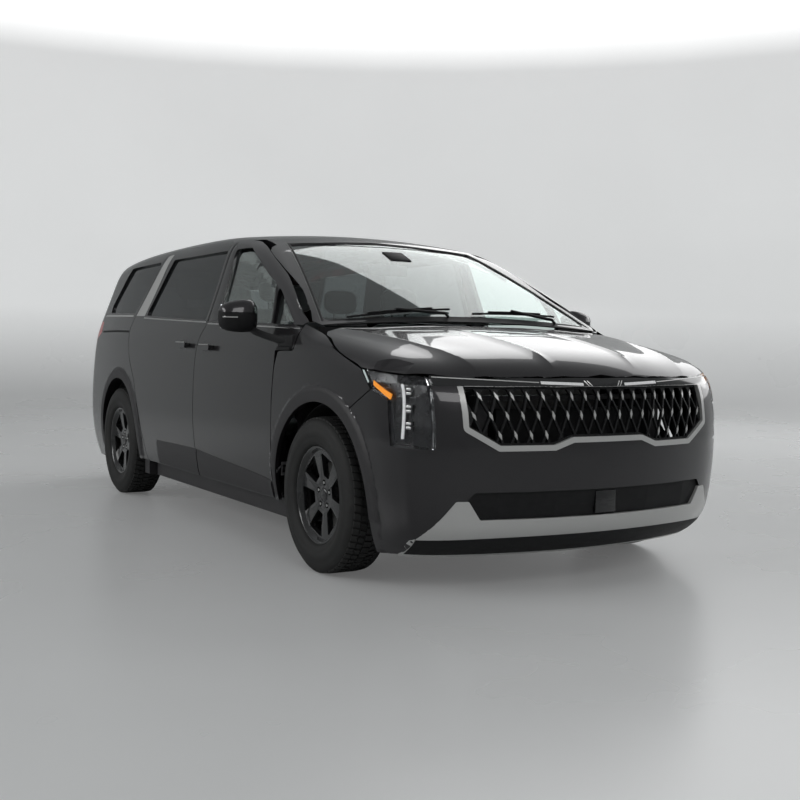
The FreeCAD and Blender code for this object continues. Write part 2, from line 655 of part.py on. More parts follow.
skid_front = [(-830, 172, 0), (-828, 258, 0), (-712, 425, 12), (-660, 425, 8), (-606, 343, 10),
              (606, 343, 10),
              (660, 425, 8), (712, 425, 12), (828, 258, 0), (830, 172, 0)]
front_arches = arch(FRONT_AXLE, ARCH_R).fuse(mirror(arch(FRONT_AXLE, ARCH_R)))
BUMPER_T = 26.0
nose_grid = fan_grid(NOSE_POST, nose_angles, nose_zs)
bumper = shell_slab(nose_grid, BUMPER_T)
bumper = bumper.common(prism(bumper_side, "side", -OUTBOARD, OUTBOARD)).cut(front_arches)
bumper = bumper.cut(prism(grille_front, "front", 2200, 2700, SEAT_GAP))
bumper = bumper.cut(prism(intake_front, "front", 2200, 2700))
bumper = bumper.cut(prism(bar_front, "front", 2100, 2700, SEAT_GAP))
bumper = bumper.cut(prism(skid_front, "front", 2100, 2700, SEAT_GAP))
lamp_seat = prism(lamp_front, "front", 1900, 2700, SEAT_GAP).common(prism(lamp_side, "side", 0, OUTBOARD,
                                                                          SEAT_GAP))
bumper = bumper.cut(lamp_seat).cut(mirror(lamp_seat))
export("front_bumper", bumper)
lamp_grid = fan_grid(NOSE_POST, (14, 22, 30, 36, 40, 44, 50, 60), (620, 740, 860, 920, 960, 985))
LENS_T = 4.0
LENS_DEEP = 20.0
LAMP_DEEP = 55.0
hood_room = prism([(a, b - SHUT_GAP, 0) for a, b, _ in above_hood_line], "side", -OUTBOARD, OUTBOARD)
lamp_room_front = prism(lamp_front, "front", 1900, 2700).common(prism(lamp_side, "side", 0,
                                                                      OUTBOARD)).cut(hood_room)
lens = shell_slab(lamp_grid, LENS_DEEP).common(lamp_room_front)
behind_lens = shell_slab(lamp_grid, LENS_DEEP + 5, LENS_T).common(prism(lamp_front, "front", 1900, 2700, -8))
behind_lens = behind_lens.common(prism(lamp_side, "side", 0, OUTBOARD, -8)).cut(hood_room)
lens = lens.cut(behind_lens)
export("headlamps", pair(lens))
lamp_unit = shell_slab(lamp_grid, LAMP_DEEP - LENS_DEEP - SEAT_GAP,
                       LENS_DEEP + SEAT_GAP).common(lamp_room_front)
export("lamp_units", pair(lamp_unit))
bar = shell_slab(fan_grid(NOSE_POST, (-40, -34, -26, -13, 0, 13, 26, 34, 40), (890, 925, 960)), 40)
bar = bar.common(prism(bar_front, "front", 2200, 2700)).cut(hood_room)
export("light_bar", bar)
SURROUND_W = 24.0
grille_angles = (-38, -32, -24, -12, 0, 12, 24, 32, 38)
surround = shell_slab(fan_grid(NOSE_POST, grille_angles, (600, 700, 800, 930)), 30)
surround = surround.common(prism(grille_front, "front", 2200, 2700))
surround = surround.cut(prism(grille_front, "front", 2200, 2700, -SURROUND_W))
above_grille = box(2200, 2700, -800, 800, BAR_LOW - SEAT_GAP, 960)
surround = surround.cut(above_grille)
export("grille_surround", surround)

# Grille: a lattice of steep diamonds, with a bright lozenge on each crossing.
LATTICE_PITCH = 71.5
LATTICE_ROW = 82.0
LATTICE_Z = 786.0
BAR_W = 9.0
LATTICE_T = 14.0
LATTICE_SET = 12.0
INSERT_T = 4.0
INSERT_LONG = 21.0
INSERT_WIDE = 6.5
INSERT_LEAN = 26.0
half_pitch = LATTICE_PITCH / 2
bar_run = math.hypot(half_pitch, LATTICE_ROW)
hole_half_w = half_pitch - BAR_W / 2 * bar_run / LATTICE_ROW
hole_half_h = LATTICE_ROW - BAR_W / 2 * bar_run / half_pitch
frame_edge = prism(grille_front, "front", 2200, 2700, -SURROUND_W - 9)
holes = []
lozenges = []
for row in range(-2, 2):
    z = LATTICE_Z + row * LATTICE_ROW
    for k in range(-18, 19):
        y = k * half_pitch
        if (k + row) % 2:
            holes.append(prism([(y - hole_half_w, z, 0), (y, z + hole_half_h, 0), (y + hole_half_w, z, 0),
                                (y, z - hole_half_h, 0)], "front", 2200, 2700))
        elif row >= 0 or (row == -1 and 300 < abs(y) < 600):
            lean = math.radians(INSERT_LEAN * y / 650)
            up_y, up_z = INSERT_LONG * math.sin(lean), INSERT_LONG * math.cos(lean)
            side_y, side_z = INSERT_WIDE * math.cos(lean), -INSERT_WIDE * math.sin(lean)
            lozenges.append(prism([(y + up_y, z + up_z, 0), (y + side_y, z + side_z, 0),
                                   (y - up_y, z - up_z, 0),
                                   (y - side_y, z - side_z, 0)], "front", 2200, 2700))
lattice_grid = fan_grid(NOSE_POST, grille_angles, (600, 700, 800, 930))
lattice = shell_slab(lattice_grid, LATTICE_T, LATTICE_SET)
lattice = lattice.common(prism(grille_front, "front", 2200, 2700, -SURROUND_W - SEAT_GAP)).cut(above_grille)
lattice = lattice.cut(Part.makeCompound(holes).common(frame_edge))
export("grille", lattice)
insert_coat = shell_slab(lattice_grid, INSERT_T, LATTICE_SET - INSERT_T - SEAT_GAP).common(frame_edge)
export("grille_inserts", insert_coat.common(Part.makeCompound(lozenges)))
lower = shell_slab(fan_grid(NOSE_POST, grille_angles, (300, 400, 500)), 14, 10)
lower = lower.common(prism(intake_front, "front", 2200, 2700, -SEAT_GAP))
lower = lower.cut(prism(skid_front, "front", 2100, 2700, SEAT_GAP))
export("lower_grille", lower)
skid = shell_slab(fan_grid(NOSE_POST, (-50, -44, -40, -34, -24, -12, 0, 12, 24, 34, 40, 44, 50),
                           (165, 215, 262, 343, 440)), 22)
export("skid_plate", skid.common(prism(skid_front, "front", 2100, 2700)))

# Screen, roof and tailgate.
screen_grid = []
for t in stations(0, 1, 6):
    x = blend(430, 1500, t)
    line = []
    for s in stations(-1, 1, 7):
        y = s * blend(650, 860, t)
        rise = 1190 + 0.4908 * (FRONT_AXLE - 160 - x) + 14 * (1 - ((x - FRONT_AXLE + 652) / 490) ** 2)
        rise = rise - 45 * (y / 830) ** 2
        line.append(Vector(x, y, min(rise, skin_top(x, y)) - 3))
    screen_grid.append(line)
screen = thrust(screen_grid, Vector(0, 0, -GLASS_T - 1))
export("windshield", screen.common(prism(screen_outline, "plan", 900, 1800, -SEAT_GAP)))

ROOF_T = 22.0
roof_outline = [(470, 0, 0), (500, -400, 0), (520, -ROOF_HALF, 0), (GATE_X, -ROOF_HALF, 0),
                (GATE_X, ROOF_HALF, 0),
                (520, ROOF_HALF, 0), (500, 400, 0)]
roof = thrust(top_grid((-2240, -2100, -1800, -1300, -700, -100, 300, 540),
                       (-640, -480, -240, 0, 240, 480, 640), 1200),
              Vector(0, 0, -ROOF_T))
roof = roof.common(prism(roof_outline, "plan", 1400, 1800))
GATE_HINGE_X = -2130.0
GATE_HINGE_Z = 1600.0
GATE_HINGE_Y = 400.0


def gate_lug(y):
    return prism([(GATE_HINGE_X - 12, GATE_HINGE_Z - 12, 0), (GATE_HINGE_X + 16, GATE_HINGE_Z - 12, 0),
                  (GATE_HINGE_X + 30, GATE_HINGE_Z + 38, 0), (GATE_HINGE_X - 20, GATE_HINGE_Z + 38, 0)],
                 "side",
                 y - 5, y + 5)


gate_pins = []
for side_y in (-GATE_HINGE_Y, GATE_HINGE_Y):
    gate_pins += [gate_lug(side_y - 21), gate_lug(side_y + 21)]
    gate_pins.append(rod(Vector(GATE_HINGE_X, side_y - 25, GATE_HINGE_Z),
                         Vector(GATE_HINGE_X, side_y + 25, GATE_HINGE_Z), 6))
export("roof", fuse([roof] + gate_pins))

GATE_T = 60.0
gate_ys = (-790, -730, -660, -560, -400, -200, 0, 200, 400, 560, 660, 730, 790)
gate_grid = []
for y in gate_ys:
    line = []
    for rise in (-36, -26, -12, 0, 10, 20, 30, 38, 44, 49, 54):
        a = math.radians(rise)
        line.append(cast(Vector(-1750, y * 0.92, 1100), (-math.cos(a), 0.1 * y / 790, math.sin(a)), 1500))
    gate_grid.append(line)
gate_window = [(-640, 1175, 30), (-560, 1488, 30), (560, 1488, 30), (640, 1175, 30)]
gate = shell_slab(gate_grid, GATE_T).common(prism(gate_front, "front", -2700, GATE_X - 8))
gate = gate.cut(prism(gate_window, "front", -2700, -2000))
roof_room = [(GATE_X + 20, 1642, 0), (GATE_X - 8, 1642, 0), (GATE_X - 26, 1570, 0), (GATE_X - 26, 1500, 0),
             (GATE_X + 20, 1500, 0)]
gate = gate.cut(prism(roof_room, "side", -370, 370))


def gate_arm(y):
    """A gooseneck that clears the roof's edge when the gate is up."""
    x, z = GATE_HINGE_X, GATE_HINGE_Z
    neck = prism([(x - 2, z, 0), (x - 2, z - 80, 0), (x - 190, z - 80, 0), (x - 190, z - 102, 0),
                  (x + 20, z - 102, 0),
                  (x + 20, z, 0)], "side", y - 12, y + 12)
    eye = Part.makeCylinder(14, 24, Vector(x, y - 12, z), Vector(0, 1, 0))
    return neck.fuse(eye).cut(Part.makeCylinder(6.05, 60, Vector(x, y - 30, z), Vector(0, 1, 0)))


gate = fuse([gate, gate_arm(GATE_HINGE_Y), gate_arm(-GATE_HINGE_Y)])
export("tailgate", gate)
rear_pane = shell_slab(gate_grid, GLASS_T, 10).common(prism(gate_window, "front", -2700, -2100, -SEAT_GAP))
export("tailgate_glass", rear_pane)
tail_angles = (92, 100, 107, 114, 121, 128, 136, 146, 160, 180, 200, 214, 224, 232, 239, 246, 253, 260, 268)
rear_bumper = shell_slab(fan_grid(REAR_POST, tail_angles, (200, 260, 330, 420, 530, 640)), 30)
rear_bumper = rear_bumper.common(prism(bumper_room, "side", -OUTBOARD, OUTBOARD)).common(
    box(-2700, -1700, -OUTBOARD, OUTBOARD, 205, 640))
rear_bumper = rear_bumper.cut(arch(REAR_AXLE, ARCH_R)).cut(mirror(arch(REAR_AXLE, ARCH_R)))
export("rear_bumper", rear_bumper)
lamp_grid = quarter_grid((860, 1000, 1100, 1180, 1240))
tail_lamp = slab(lamp_grid, inset(lamp_grid, 50)).common(
    prism(rear_lamp_side, "side", 0, OUTBOARD, -SEAT_GAP)).cut(gate_hole)
export("tail_lamps", pair(tail_lamp))

# Each knuckle turns with its strut about an inclined line.
ball = Vector(FRONT_AXLE, 815, 220)
strut_top = Vector(FRONT_AXLE, 640, 860)
kingpin = (strut_top - ball).normalize()
BALL_R = 11.0
STRUT_R = 11.0


def along_kingpin(z):
    return ball + kingpin * ((z - ball.z) / kingpin.z)


# Floor, bulkhead and cowl close the cabin.
REAR_FLOOR_Z = 470.0
floor_y = 700 - SEAT_GAP
liner_y = 600 - SEAT_GAP
export("floor", fuse([box(-980, 1166, -floor_y, floor_y, FLOOR_Z - 40, FLOOR_Z),
                      box(-980, -950, -floor_y, floor_y, FLOOR_Z - 40, REAR_FLOOR_Z),
                      box(-1900, -980, -liner_y, liner_y, REAR_FLOOR_Z - 30, REAR_FLOOR_Z),
                      box(-2390, -1900, -780, 780, REAR_FLOOR_Z - 30, REAR_FLOOR_Z)]))
cowl_parts = [box(1166, 1196, -floor_y, floor_y, FLOOR_Z - 40, FLOOR_Z),
              box(1166, 1196, -780, 780, FLOOR_Z, 1080),
              box(1166, 1460, -780, 780, 1060, 1080)]
for side_y in (-HOOD_HINGE_Y, HOOD_HINGE_Y):
    for y in (side_y - 16, side_y + 16):
        cowl_parts.append(prism([(1440, 1070, 0), (HOOD_HINGE_X, 1070, 0), (HOOD_HINGE_X + 12, 1100, 0),
                                 (HOOD_HINGE_X + 9, 1121, 0), (HOOD_HINGE_X - 9, 1121, 0)], "side", y - 4,
                                y + 4))
    cowl_parts.append(rod(Vector(HOOD_HINGE_X, side_y - 20, HOOD_HINGE_Z),
                          Vector(HOOD_HINGE_X, side_y + 20, HOOD_HINGE_Z), 5))
pillar_stay = box(1402, 1440, 740, 850, 1060, 1158).cut(side).cut(fender)
export("cowl", fuse(cowl_parts + [pillar_stay, mirror(pillar_stay)]))


def liner(axle, radius, y0, y1, low, high, sides):
    """A curved strip round the wheel between two angles measured from straight up."""
    outer = []
    inner = []
    for angle in stations(low, high, sides + 1):
        a = math.radians(angle)
        outer.append((axle + radius * math.sin(a), TYRE_R + radius * math.cos(a), 0))
        inner.append((axle + (radius - 6) * math.sin(a), TYRE_R + (radius - 6) * math.cos(a), 0))
    return prism(outer + inner[::-1], "side", y0, y1)


RAIL_Y = 530.0
export("wheelhouses_rear", pair(liner(REAR_AXLE, ARCH_R - 4, 600, 900, -100, 100, 16)))
front_liner = liner(FRONT_AXLE, ARCH_R - 4, RAIL_Y + SEAT_GAP, 900, -66, 84, 14)
front_liner = front_liner.cut(rod(along_kingpin(700), along_kingpin(840), STRUT_R + 12))
export("wheelhouses_front", pair(front_liner))

# Front frame: rails, aprons with the struts' top mounts, and the stays of the outer panels.
rail_low = 420.0
rail_high = 520.0
SUBFRAME_TOP = 270.0
tower = fuse([
    box(FRONT_AXLE - 70, FRONT_AXLE + 70, RAIL_Y - 30, 710, 846, 876),
    box(1196, 2200, RAIL_Y - 50, RAIL_Y, 760, 876),
    box(FRONT_AXLE - 60, FRONT_AXLE + 60, RAIL_Y - 50, RAIL_Y, rail_high + SEAT_GAP, 876)])
rail = fuse([box(1196, 2440, RAIL_Y - 60, RAIL_Y, rail_low, rail_high),
             box(2240, 2310, RAIL_Y - 60, RAIL_Y, 262, 860)])
tower = tower.cut(rod(along_kingpin(800), along_kingpin(900), STRUT_R))
fender_stays = fuse([box(1420, 1450, RAIL_Y - 50, 980, 1000, 1012), box(1420, 1450, RAIL_Y - 50, RAIL_Y, 870,
                                                                        1012),
                     box(2030, 2060, RAIL_Y - 50, 960, 880, 892), box(2030, 2060, RAIL_Y - 50, RAIL_Y, 870,
                                                                      892)])
fender_core = slab(shift(fender_grid, Vector(0, -FENDER_T, 0)), shift(fender_grid, Vector(0, -500, 0)))
fender_stays = fender_stays.common(fender_core.fuse(box(1200, 2200, 0, 700, 0, 1400)))
bumper_stay = box(2380, 2560, 480, 560, 490, 506).common(slab(inset(nose_grid, BUMPER_T),
                                                              inset(nose_grid, 170)))
upper_half = tower.fuse(fender_stays)
export("strut_towers", pair(upper_half))
half_frame = [rail, bumper_stay]
cross = [box(2240, 2310, -RAIL_Y, RAIL_Y, 262, 292), box(2240, 2310, -RAIL_Y, RAIL_Y, 840, 860),
         box(2400, 2440, -RAIL_Y, RAIL_Y, rail_low, rail_high)]
export("front_frame", fuse(half_frame + [mirror(s) for s in half_frame] + cross))
export("engine_block", box(1500, 2060, -360, 360, SUBFRAME_TOP + SEAT_GAP, 900))
export("radiator", box(2250, 2300, -420, 420, 292 + SEAT_GAP, 800))

# Wheels, tyres and what carries them.
SIDES = 48
SPOKES = 6
STUD_CIRCLE = 114.3
STUD_R = 6.0
SPINDLE_R = 34.0
RUNNING_GAP = 0.05
rim_half = RIM_W / 2
rim_profile = [(-rim_half, 229), (-rim_half, 206), (-rim_half + 24, 200), (rim_half - 40, 200),
               (rim_half - 8, 213),
               (rim_half, 222), (rim_half, 230), (rim_half - 6, 230), (rim_half - 7, BEAD_R),
               (-rim_half + 7, BEAD_R), (-rim_half + 6, 229)]
disc_profile = [(60, 0), (62, 66), (76, 190), (72, 208), (46, 208), (46, 190), (34, 78), (-5, 78), (-5, 165),
                (-31, 165), (-31, 30), (14, 30), (14, 0)]
tyre_half = TYRE_W / 2
bead = rim_half - 7 - SEAT_GAP
tyre_profile = [(-bead, BEAD_R + SEAT_GAP), (bead, BEAD_R + SEAT_GAP), (bead, 234), (tyre_half - 6, 258),
                (tyre_half, 290), (tyre_half - 5, 335), (tyre_half - 24, TYRE_R - 4),
                (tyre_half - 46, TYRE_R),
                (-tyre_half + 46, TYRE_R), (-tyre_half + 24, TYRE_R - 4), (-tyre_half + 5, 335),
                (-tyre_half, 290), (-tyre_half + 6, 258), (-bead, 234)]


def wheel_at(centre):
    """Rim, spoked disc, studs, hub and brake disc of a left wheel with its outer face at +Y."""
    face = turn(disc_profile, centre, 24)
    cuts = [Part.makeCylinder(SPINDLE_R, 60, centre - Vector(0, 46, 0), Vector(0, 1, 0))]
    studs = []
    for k in range(SPOKES):
        window = prism([(-24, 88, 0), (-30, 100, 0), (-62, 180, 0), (-56, 188, 0), (56, 188, 0), (62, 180, 0),
                        (30, 100, 0), (24, 88, 0)], "side", 10, 120)
        window.rotate(Vector(0, 0, 0), Vector(0, 1, 0), 18 + 360 / SPOKES * k)
        window.translate(centre)
        cuts.append(window)
    for k in range(5):
        a = 2 * math.pi * k / 5
        spot = centre + Vector(STUD_CIRCLE / 2 * math.sin(a), 40, STUD_CIRCLE / 2 * math.cos(a))
        pocket = prism([(15 * math.sin(math.pi * q / 4), 15 * math.cos(math.pi * q / 4),
                         0) for q in range(8)],
                       "side", 0, 60)
        pocket.translate(spot)
        cuts.append(pocket)
        studs.append(Part.makeCylinder(STUD_R, 24, spot - Vector(0, 4, 0), Vector(0, 1, 0)))
    return fuse([turn(rim_profile, centre, SIDES), face.cut(Part.makeCompound(cuts))] + studs)


for name, axle in (("front", FRONT_AXLE), ("rear", REAR_AXLE)):
    centre = Vector(axle, WHEEL_Y, TYRE_R)
    wheel = wheel_at(centre)
    tyre = turn(tyre_profile, centre, SIDES)
    half_turned = wheel.copy()
    half_turned.rotate(centre, Vector(0, 1, 0), 180)
    export("wheel_%s_left" % name, half_turned)
    export("wheel_%s_right" % name, mirror(wheel))
    export("tyre_%s_left" % name, tyre)
    export("tyre_%s_right" % name, mirror(tyre))

# Front suspension.
knuckle = fuse([
    Part.makeCylinder(SPINDLE_R - RUNNING_GAP, 110, Vector(FRONT_AXLE, WHEEL_Y - 100, TYRE_R),
                      Vector(0, 1, 0)),
    box(FRONT_AXLE - 45, FRONT_AXLE + 45, WHEEL_Y - 104, WHEEL_Y - 60, TYRE_R - 60, TYRE_R + 60),
    prism([(WHEEL_Y - 100, TYRE_R - 50, 0), (800, 236, 0), (828, 236, 0), (WHEEL_Y - 38, TYRE_R - 50, 0)],
          "front",
          FRONT_AXLE - 22, FRONT_AXLE + 22),
    prism([(WHEEL_Y - 104, TYRE_R + 40, 0), (WHEEL_Y - 60, TYRE_R + 40, 0), (760, 520, 0), (700, 520, 0)],
          "front",
          FRONT_AXLE - 24, FRONT_AXLE + 24),
    rod(along_kingpin(196), along_kingpin(250), BALL_R - RUNNING_GAP),
    rod(along_kingpin(450), along_kingpin(650), 26),
    rod(along_kingpin(640), strut_top + kingpin * 12, STRUT_R - RUNNING_GAP)])
export("knuckle_left", knuckle)
export("knuckle_right", mirror(knuckle))
arm = prism([(380, 210, 0), (790, 198, 0), (832, 200, 0), (832, 226, 0), (790, 226, 0), (380, 250, 0)],
            "front",
            FRONT_AXLE - 26, FRONT_AXLE + 26).cut(rod(along_kingpin(150), along_kingpin(260), BALL_R))
arm = arm.common(prism([(FRONT_AXLE - 26, 380, 0), (FRONT_AXLE - 26, 800, 0), (FRONT_AXLE - 15, 832, 0),
                        (FRONT_AXLE + 15, 832, 0), (FRONT_AXLE + 26, 800, 0), (FRONT_AXLE + 26, 380, 0)],
                       "plan", 190, 260))
subframe = [box(FRONT_AXLE - 180, FRONT_AXLE + 180, -500, 500, 195, SUBFRAME_TOP)]
for x in (FRONT_AXLE - 150, FRONT_AXLE + 150):
    for y in (-500, 470):
        subframe.append(box(x - 25, x + 25, y, y + 30, 240, rail_low - SEAT_GAP))
export("front_subframe", fuse(subframe + [arm, mirror(arm)]))
axle_half = fuse([
    Part.makeCylinder(SPINDLE_R - RUNNING_GAP, 110, Vector(REAR_AXLE, WHEEL_Y - 100, TYRE_R),
                      Vector(0, 1, 0)),
    box(REAR_AXLE - 50, REAR_AXLE + 50, WHEEL_Y - 130, WHEEL_Y - 60, TYRE_R - 60, TYRE_R + 50),
    prism([(REAR_AXLE - 40, TYRE_R - 30, 0), (REAR_AXLE - 40, TYRE_R - 90, 0), (-900, 205, 0),
           (-900, FLOOR_Z - 40 - SEAT_GAP, 0), (-986, FLOOR_Z - 40 - SEAT_GAP, 0), (-1040, TYRE_R - 40, 0)],
          "side",
          WHEEL_Y - 330, WHEEL_Y - 275),
    rod(Vector(REAR_AXLE, 500, TYRE_R - 30), Vector(REAR_AXLE, 500, REAR_FLOOR_Z - 30 - SEAT_GAP), 55)])
beam = box(REAR_AXLE - 30, REAR_AXLE + 30, -WHEEL_Y + 110, WHEEL_Y - 110, TYRE_R - 80, TYRE_R - 20)
export("rear_axle", fuse([beam, axle_half, mirror(axle_half)]))


# Cabin.
def seat(x, y, width, z, floor_z=FLOOR_Z):
    """A seat with its cushion at x and its top face at z."""
    half_w = width / 2
    cushion = prism([(x - 250, z - 130, 0), (x + 270, z - 120, 0), (x + 285, z - 20, 0), (x + 240, z + 10, 0),
                     (x - 180, z - 20, 0)], "side", y - half_w, y + half_w)
    back = prism([(x - 250, z - 100, 0), (x - 150, z - 60, 0), (x - 250, z + 520, 0), (x - 275, z + 580, 0),
                  (x - 340, z + 580, 0), (x - 365, z + 500, 0)], "side", y - half_w + 10, y + half_w - 10)
    head = prism([(x - 290, z + 610, 0), (x - 265, z + 640, 0), (x - 275, z + 770, 0), (x - 320, z + 790, 0),
                  (x - 375, z + 770, 0), (x - 370, z + 640, 0)], "side", y - 130, y + 130)
    posts = prism([(x - 325, z + 540, 0), (x - 305, z + 540, 0), (x - 315, z + 640, 0),
                   (x - 335, z + 640, 0)],
                  "side", y - 60, y + 60)
    base = box(x - 200, x + 220, y - half_w + 50, y + half_w - 50, floor_z + SEAT_GAP, z - 100)
    return fuse([cushion, back, head, posts, base])


export("front_seats", pair(seat(420, 370, 520, 640)))
export("second_row_seats", pair(seat(-440, 400, 520, 660)))
export("third_row_seats", seat(-1400, 0, 1120, 760, REAR_FLOOR_Z))
column_start = Vector(790, 370, 960)
column_aim = Vector(-0.9022, 0, 0.4312).normalize()
COLUMN_R = 20.0
dash = prism([(1166 - SEAT_GAP, 620, 0), (1166 - SEAT_GAP, 1080, 0), (1000, 1075, 0), (890, 1010, 0),
              (880, 940, 0), (960, 700, 0), (1080, 620, 0)], "side", -770, 770)
dash = dash.cut(rod(column_start, column_start - column_aim * 200, COLUMN_R))
export("dashboard", dash)
ring = turn([(-14, 176), (-6, 166), (6, 166), (14, 176), (6, 190), (-6, 190)], column_start, 32, column_aim)
boss = turn([(10, 0), (10, 60), (-30, 70), (-60, 40), (-60, 0)], column_start, 16, column_aim)
across = Vector(0, 1, 0)
up = across.cross(column_aim)


def wheel_spoke(direction, span, half_width):
    side = direction.cross(column_aim)
    corners = [direction * 40 + side * half_width, direction * span + side * half_width * 0.7,
               direction * span - side * half_width * 0.7, direction * 40 - side * half_width]
    base = column_start - column_aim * 8
    corners = [base + c for c in corners]
    return Part.Face(Part.makePolygon(corners + [corners[0]])).extrude(column_aim * 12)


spokes = [wheel_spoke(across, 172, 24), wheel_spoke(across * -1, 172, 24), wheel_spoke(up * -1, 172, 22)]
shaft = rod(column_start - column_aim * 50, column_start - column_aim * 180, COLUMN_R - RUNNING_GAP)
export("steering_wheel", fuse([ring, boss, shaft] + spokes))
console = prism([(620, FLOOR_Z + SEAT_GAP, 0), (620, 600, 0), (900, 680, 0), (955, 690, 0), (1060, 610, 0),
                 (1060, FLOOR_Z + SEAT_GAP, 0)], "side", -95, 95)
export("center_console", console)

# Mirrors stand on arms from the front doors' black corner below the belt.
mirror_head = prism([(1000, 1004, 0), (1042, 1030, 0), (1048, 1110, 0), (1030, 1180, 0), (985, 1196, 0),
                     (940, 1190, 0), (930, 1060, 0), (940, 1010, 0)], "plan", 1112, 1232)
mirror_arm = prism([(1300, 946, 0), (1300, 962, 0), (1030, 1058, 0), (960, 1050, 0), (960, 1020, 0),
                    (1170, 946, 0)],
                   "plan", 1072, 1116)
foot = prism([(1178, 1052, 0), (1340, 1056, 0), (1346, 1116, 0), (1178, 1112, 0)], "side", 945, 972)
hold_off = thrust(side_grid((1100, 1250, 1400), (1040, 1080, 1130)), Vector(0, -60, 0))
hold_off.translate(Vector(0, SEAT_GAP, 0))
door_mirror = fuse([mirror_head, mirror_arm, foot]).cut(hold_off)
export("mirror_left", door_mirror)
export("mirror_right", mirror(door_mirror))

# Door pulls, wipers and what hangs below the floor.
def pull(x0, x1, z):
    skin = side_grid((x0, x1), (z - 13, z + 13))
    bar = thrust(shift(skin, Vector(0, 34, 0)), Vector(0, -14, 0))
    ends = []
    for x in (x0, x1 - 24):
        foot_grid = side_grid((x, x + 24), (z - 11, z + 11))
        ends.append(thrust(shift(foot_grid, Vector(0, 24, 0)), Vector(0, SEAT_GAP - 24, 0)))
    return fuse([bar] + ends)


front_pull = pull(180, 330, 1042)
export("handle_left", front_pull)
export("handle_right", mirror(front_pull))
export("slide_handles", pair(pull(-210, -60, 1052)))

# Below the floor: the fuel tank and the exhaust.
tank_top = FLOOR_Z - 40 - SEAT_GAP
tank = prism([(-250, 168, 30), (-250, tank_top, 0), (420, tank_top, 0), (420, 168, 30)], "side", 60, 560)
export("fuel_tank", tank)
pipe_z = 215.0
muffler = prism([(-2280, pipe_z - 10, 30), (-2280, pipe_z + 110, 30), (-1960, pipe_z + 110, 30),
                 (-1960, pipe_z - 10, 30)], "side", -640, -260)
pipe = [rod(Vector(-1970, -330, pipe_z + 40), Vector(-860, -330, pipe_z), 28),
        rod(Vector(-860, -330, pipe_z), Vector(1440, -250, pipe_z), 28)]
hangers = [box(-2110, -2090, -460, -440, pipe_z + 90, REAR_FLOOR_Z - 30 - SEAT_GAP),
           box(-600, -580, -340, -320, pipe_z, FLOOR_Z - 40 - SEAT_GAP)]
export("exhaust", fuse([muffler] + pipe + hangers))
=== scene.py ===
import bpy
import bmesh
import math
import numpy as np
from mathutils import Matrix, Vector


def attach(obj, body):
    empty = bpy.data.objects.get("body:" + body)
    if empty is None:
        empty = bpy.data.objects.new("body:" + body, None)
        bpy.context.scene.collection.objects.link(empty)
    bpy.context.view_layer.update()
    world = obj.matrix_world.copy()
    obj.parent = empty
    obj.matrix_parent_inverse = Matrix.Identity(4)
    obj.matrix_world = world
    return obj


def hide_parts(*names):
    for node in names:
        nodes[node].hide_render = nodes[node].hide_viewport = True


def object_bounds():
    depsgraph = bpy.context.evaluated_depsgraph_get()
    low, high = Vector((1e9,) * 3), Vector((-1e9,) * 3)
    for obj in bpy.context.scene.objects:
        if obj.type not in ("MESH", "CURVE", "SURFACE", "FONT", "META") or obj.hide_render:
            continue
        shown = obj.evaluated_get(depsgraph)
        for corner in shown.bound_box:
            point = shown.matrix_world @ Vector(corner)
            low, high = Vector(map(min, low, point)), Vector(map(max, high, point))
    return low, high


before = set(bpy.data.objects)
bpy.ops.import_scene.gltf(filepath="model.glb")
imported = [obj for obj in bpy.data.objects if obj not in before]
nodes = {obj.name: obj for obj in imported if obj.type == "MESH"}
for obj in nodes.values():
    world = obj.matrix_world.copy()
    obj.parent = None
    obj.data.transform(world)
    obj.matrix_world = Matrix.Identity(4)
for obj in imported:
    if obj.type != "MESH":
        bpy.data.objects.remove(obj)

cad_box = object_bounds()

# Studio. A pale floor that curves up into a wall, a large soft lamp above, smaller ones in front and on
# both sides, and a camera at eye height off the front right corner.
EYE = Vector((6.415, -3.355, 1.098))
YAW = math.radians(149.32)
PITCH = math.radians(-2.98)
ROLL = math.radians(0.9)
forward = Vector((math.cos(PITCH) * math.cos(YAW), math.cos(PITCH) * math.sin(YAW), math.sin(PITCH)))
level_right = Vector((math.sin(YAW), -math.cos(YAW), 0))
level_up = level_right.cross(forward)
right = level_right * math.cos(ROLL) + level_up * math.sin(ROLL)
up = right.cross(forward)
camera = bpy.data.objects.new("camera", bpy.data.cameras.new("camera"))
camera.matrix_world = Matrix(((right.x, up.x, -forward.x, EYE.x), (right.y, up.y, -forward.y, EYE.y),
                              (right.z, up.z, -forward.z, EYE.z), (0, 0, 0, 1)))
camera.data.sensor_width = 36
camera.data.lens = 51.41
camera.data.clip_end = 200
bpy.context.collection.objects.link(camera)
bpy.context.scene.camera = camera
bpy.context.scene.view_settings.view_transform = "Standard"


def lamp(name, place, target, width, height, power):
    """A soft rectangular lamp aimed at a point, with sizes in metres and power in watts."""
    data = bpy.data.lights.new(name, "AREA")
    data.shape = "RECTANGLE"
    data.size = width
    data.size_y = height
    data.energy = power
    made = bpy.data.objects.new(name, data)
    aim = (Vector(target) - Vector(place)).normalized()
    made.matrix_world = Matrix.Translation(place) @ aim.to_track_quat("-Z", "Y").to_matrix().to_4x4()
    bpy.context.collection.objects.link(made)


lamp("ceiling", (-3.0, 8.6, 6.4), (0.0, 3.5, 0.5), 12, 7, 420)
lamp("front", (9.0, -1.0, 5.2), (1.5, 0, 0.6), 5, 2.0, 90)
lamp("right_wall", (-1.5, -9.5, 4.6), (0, 0, 0.7), 9, 2.0, 200)
lamp("left_wall", (1.5, 9.5, 3.2), (0, 0, 0.9), 6, 2.0, 60)


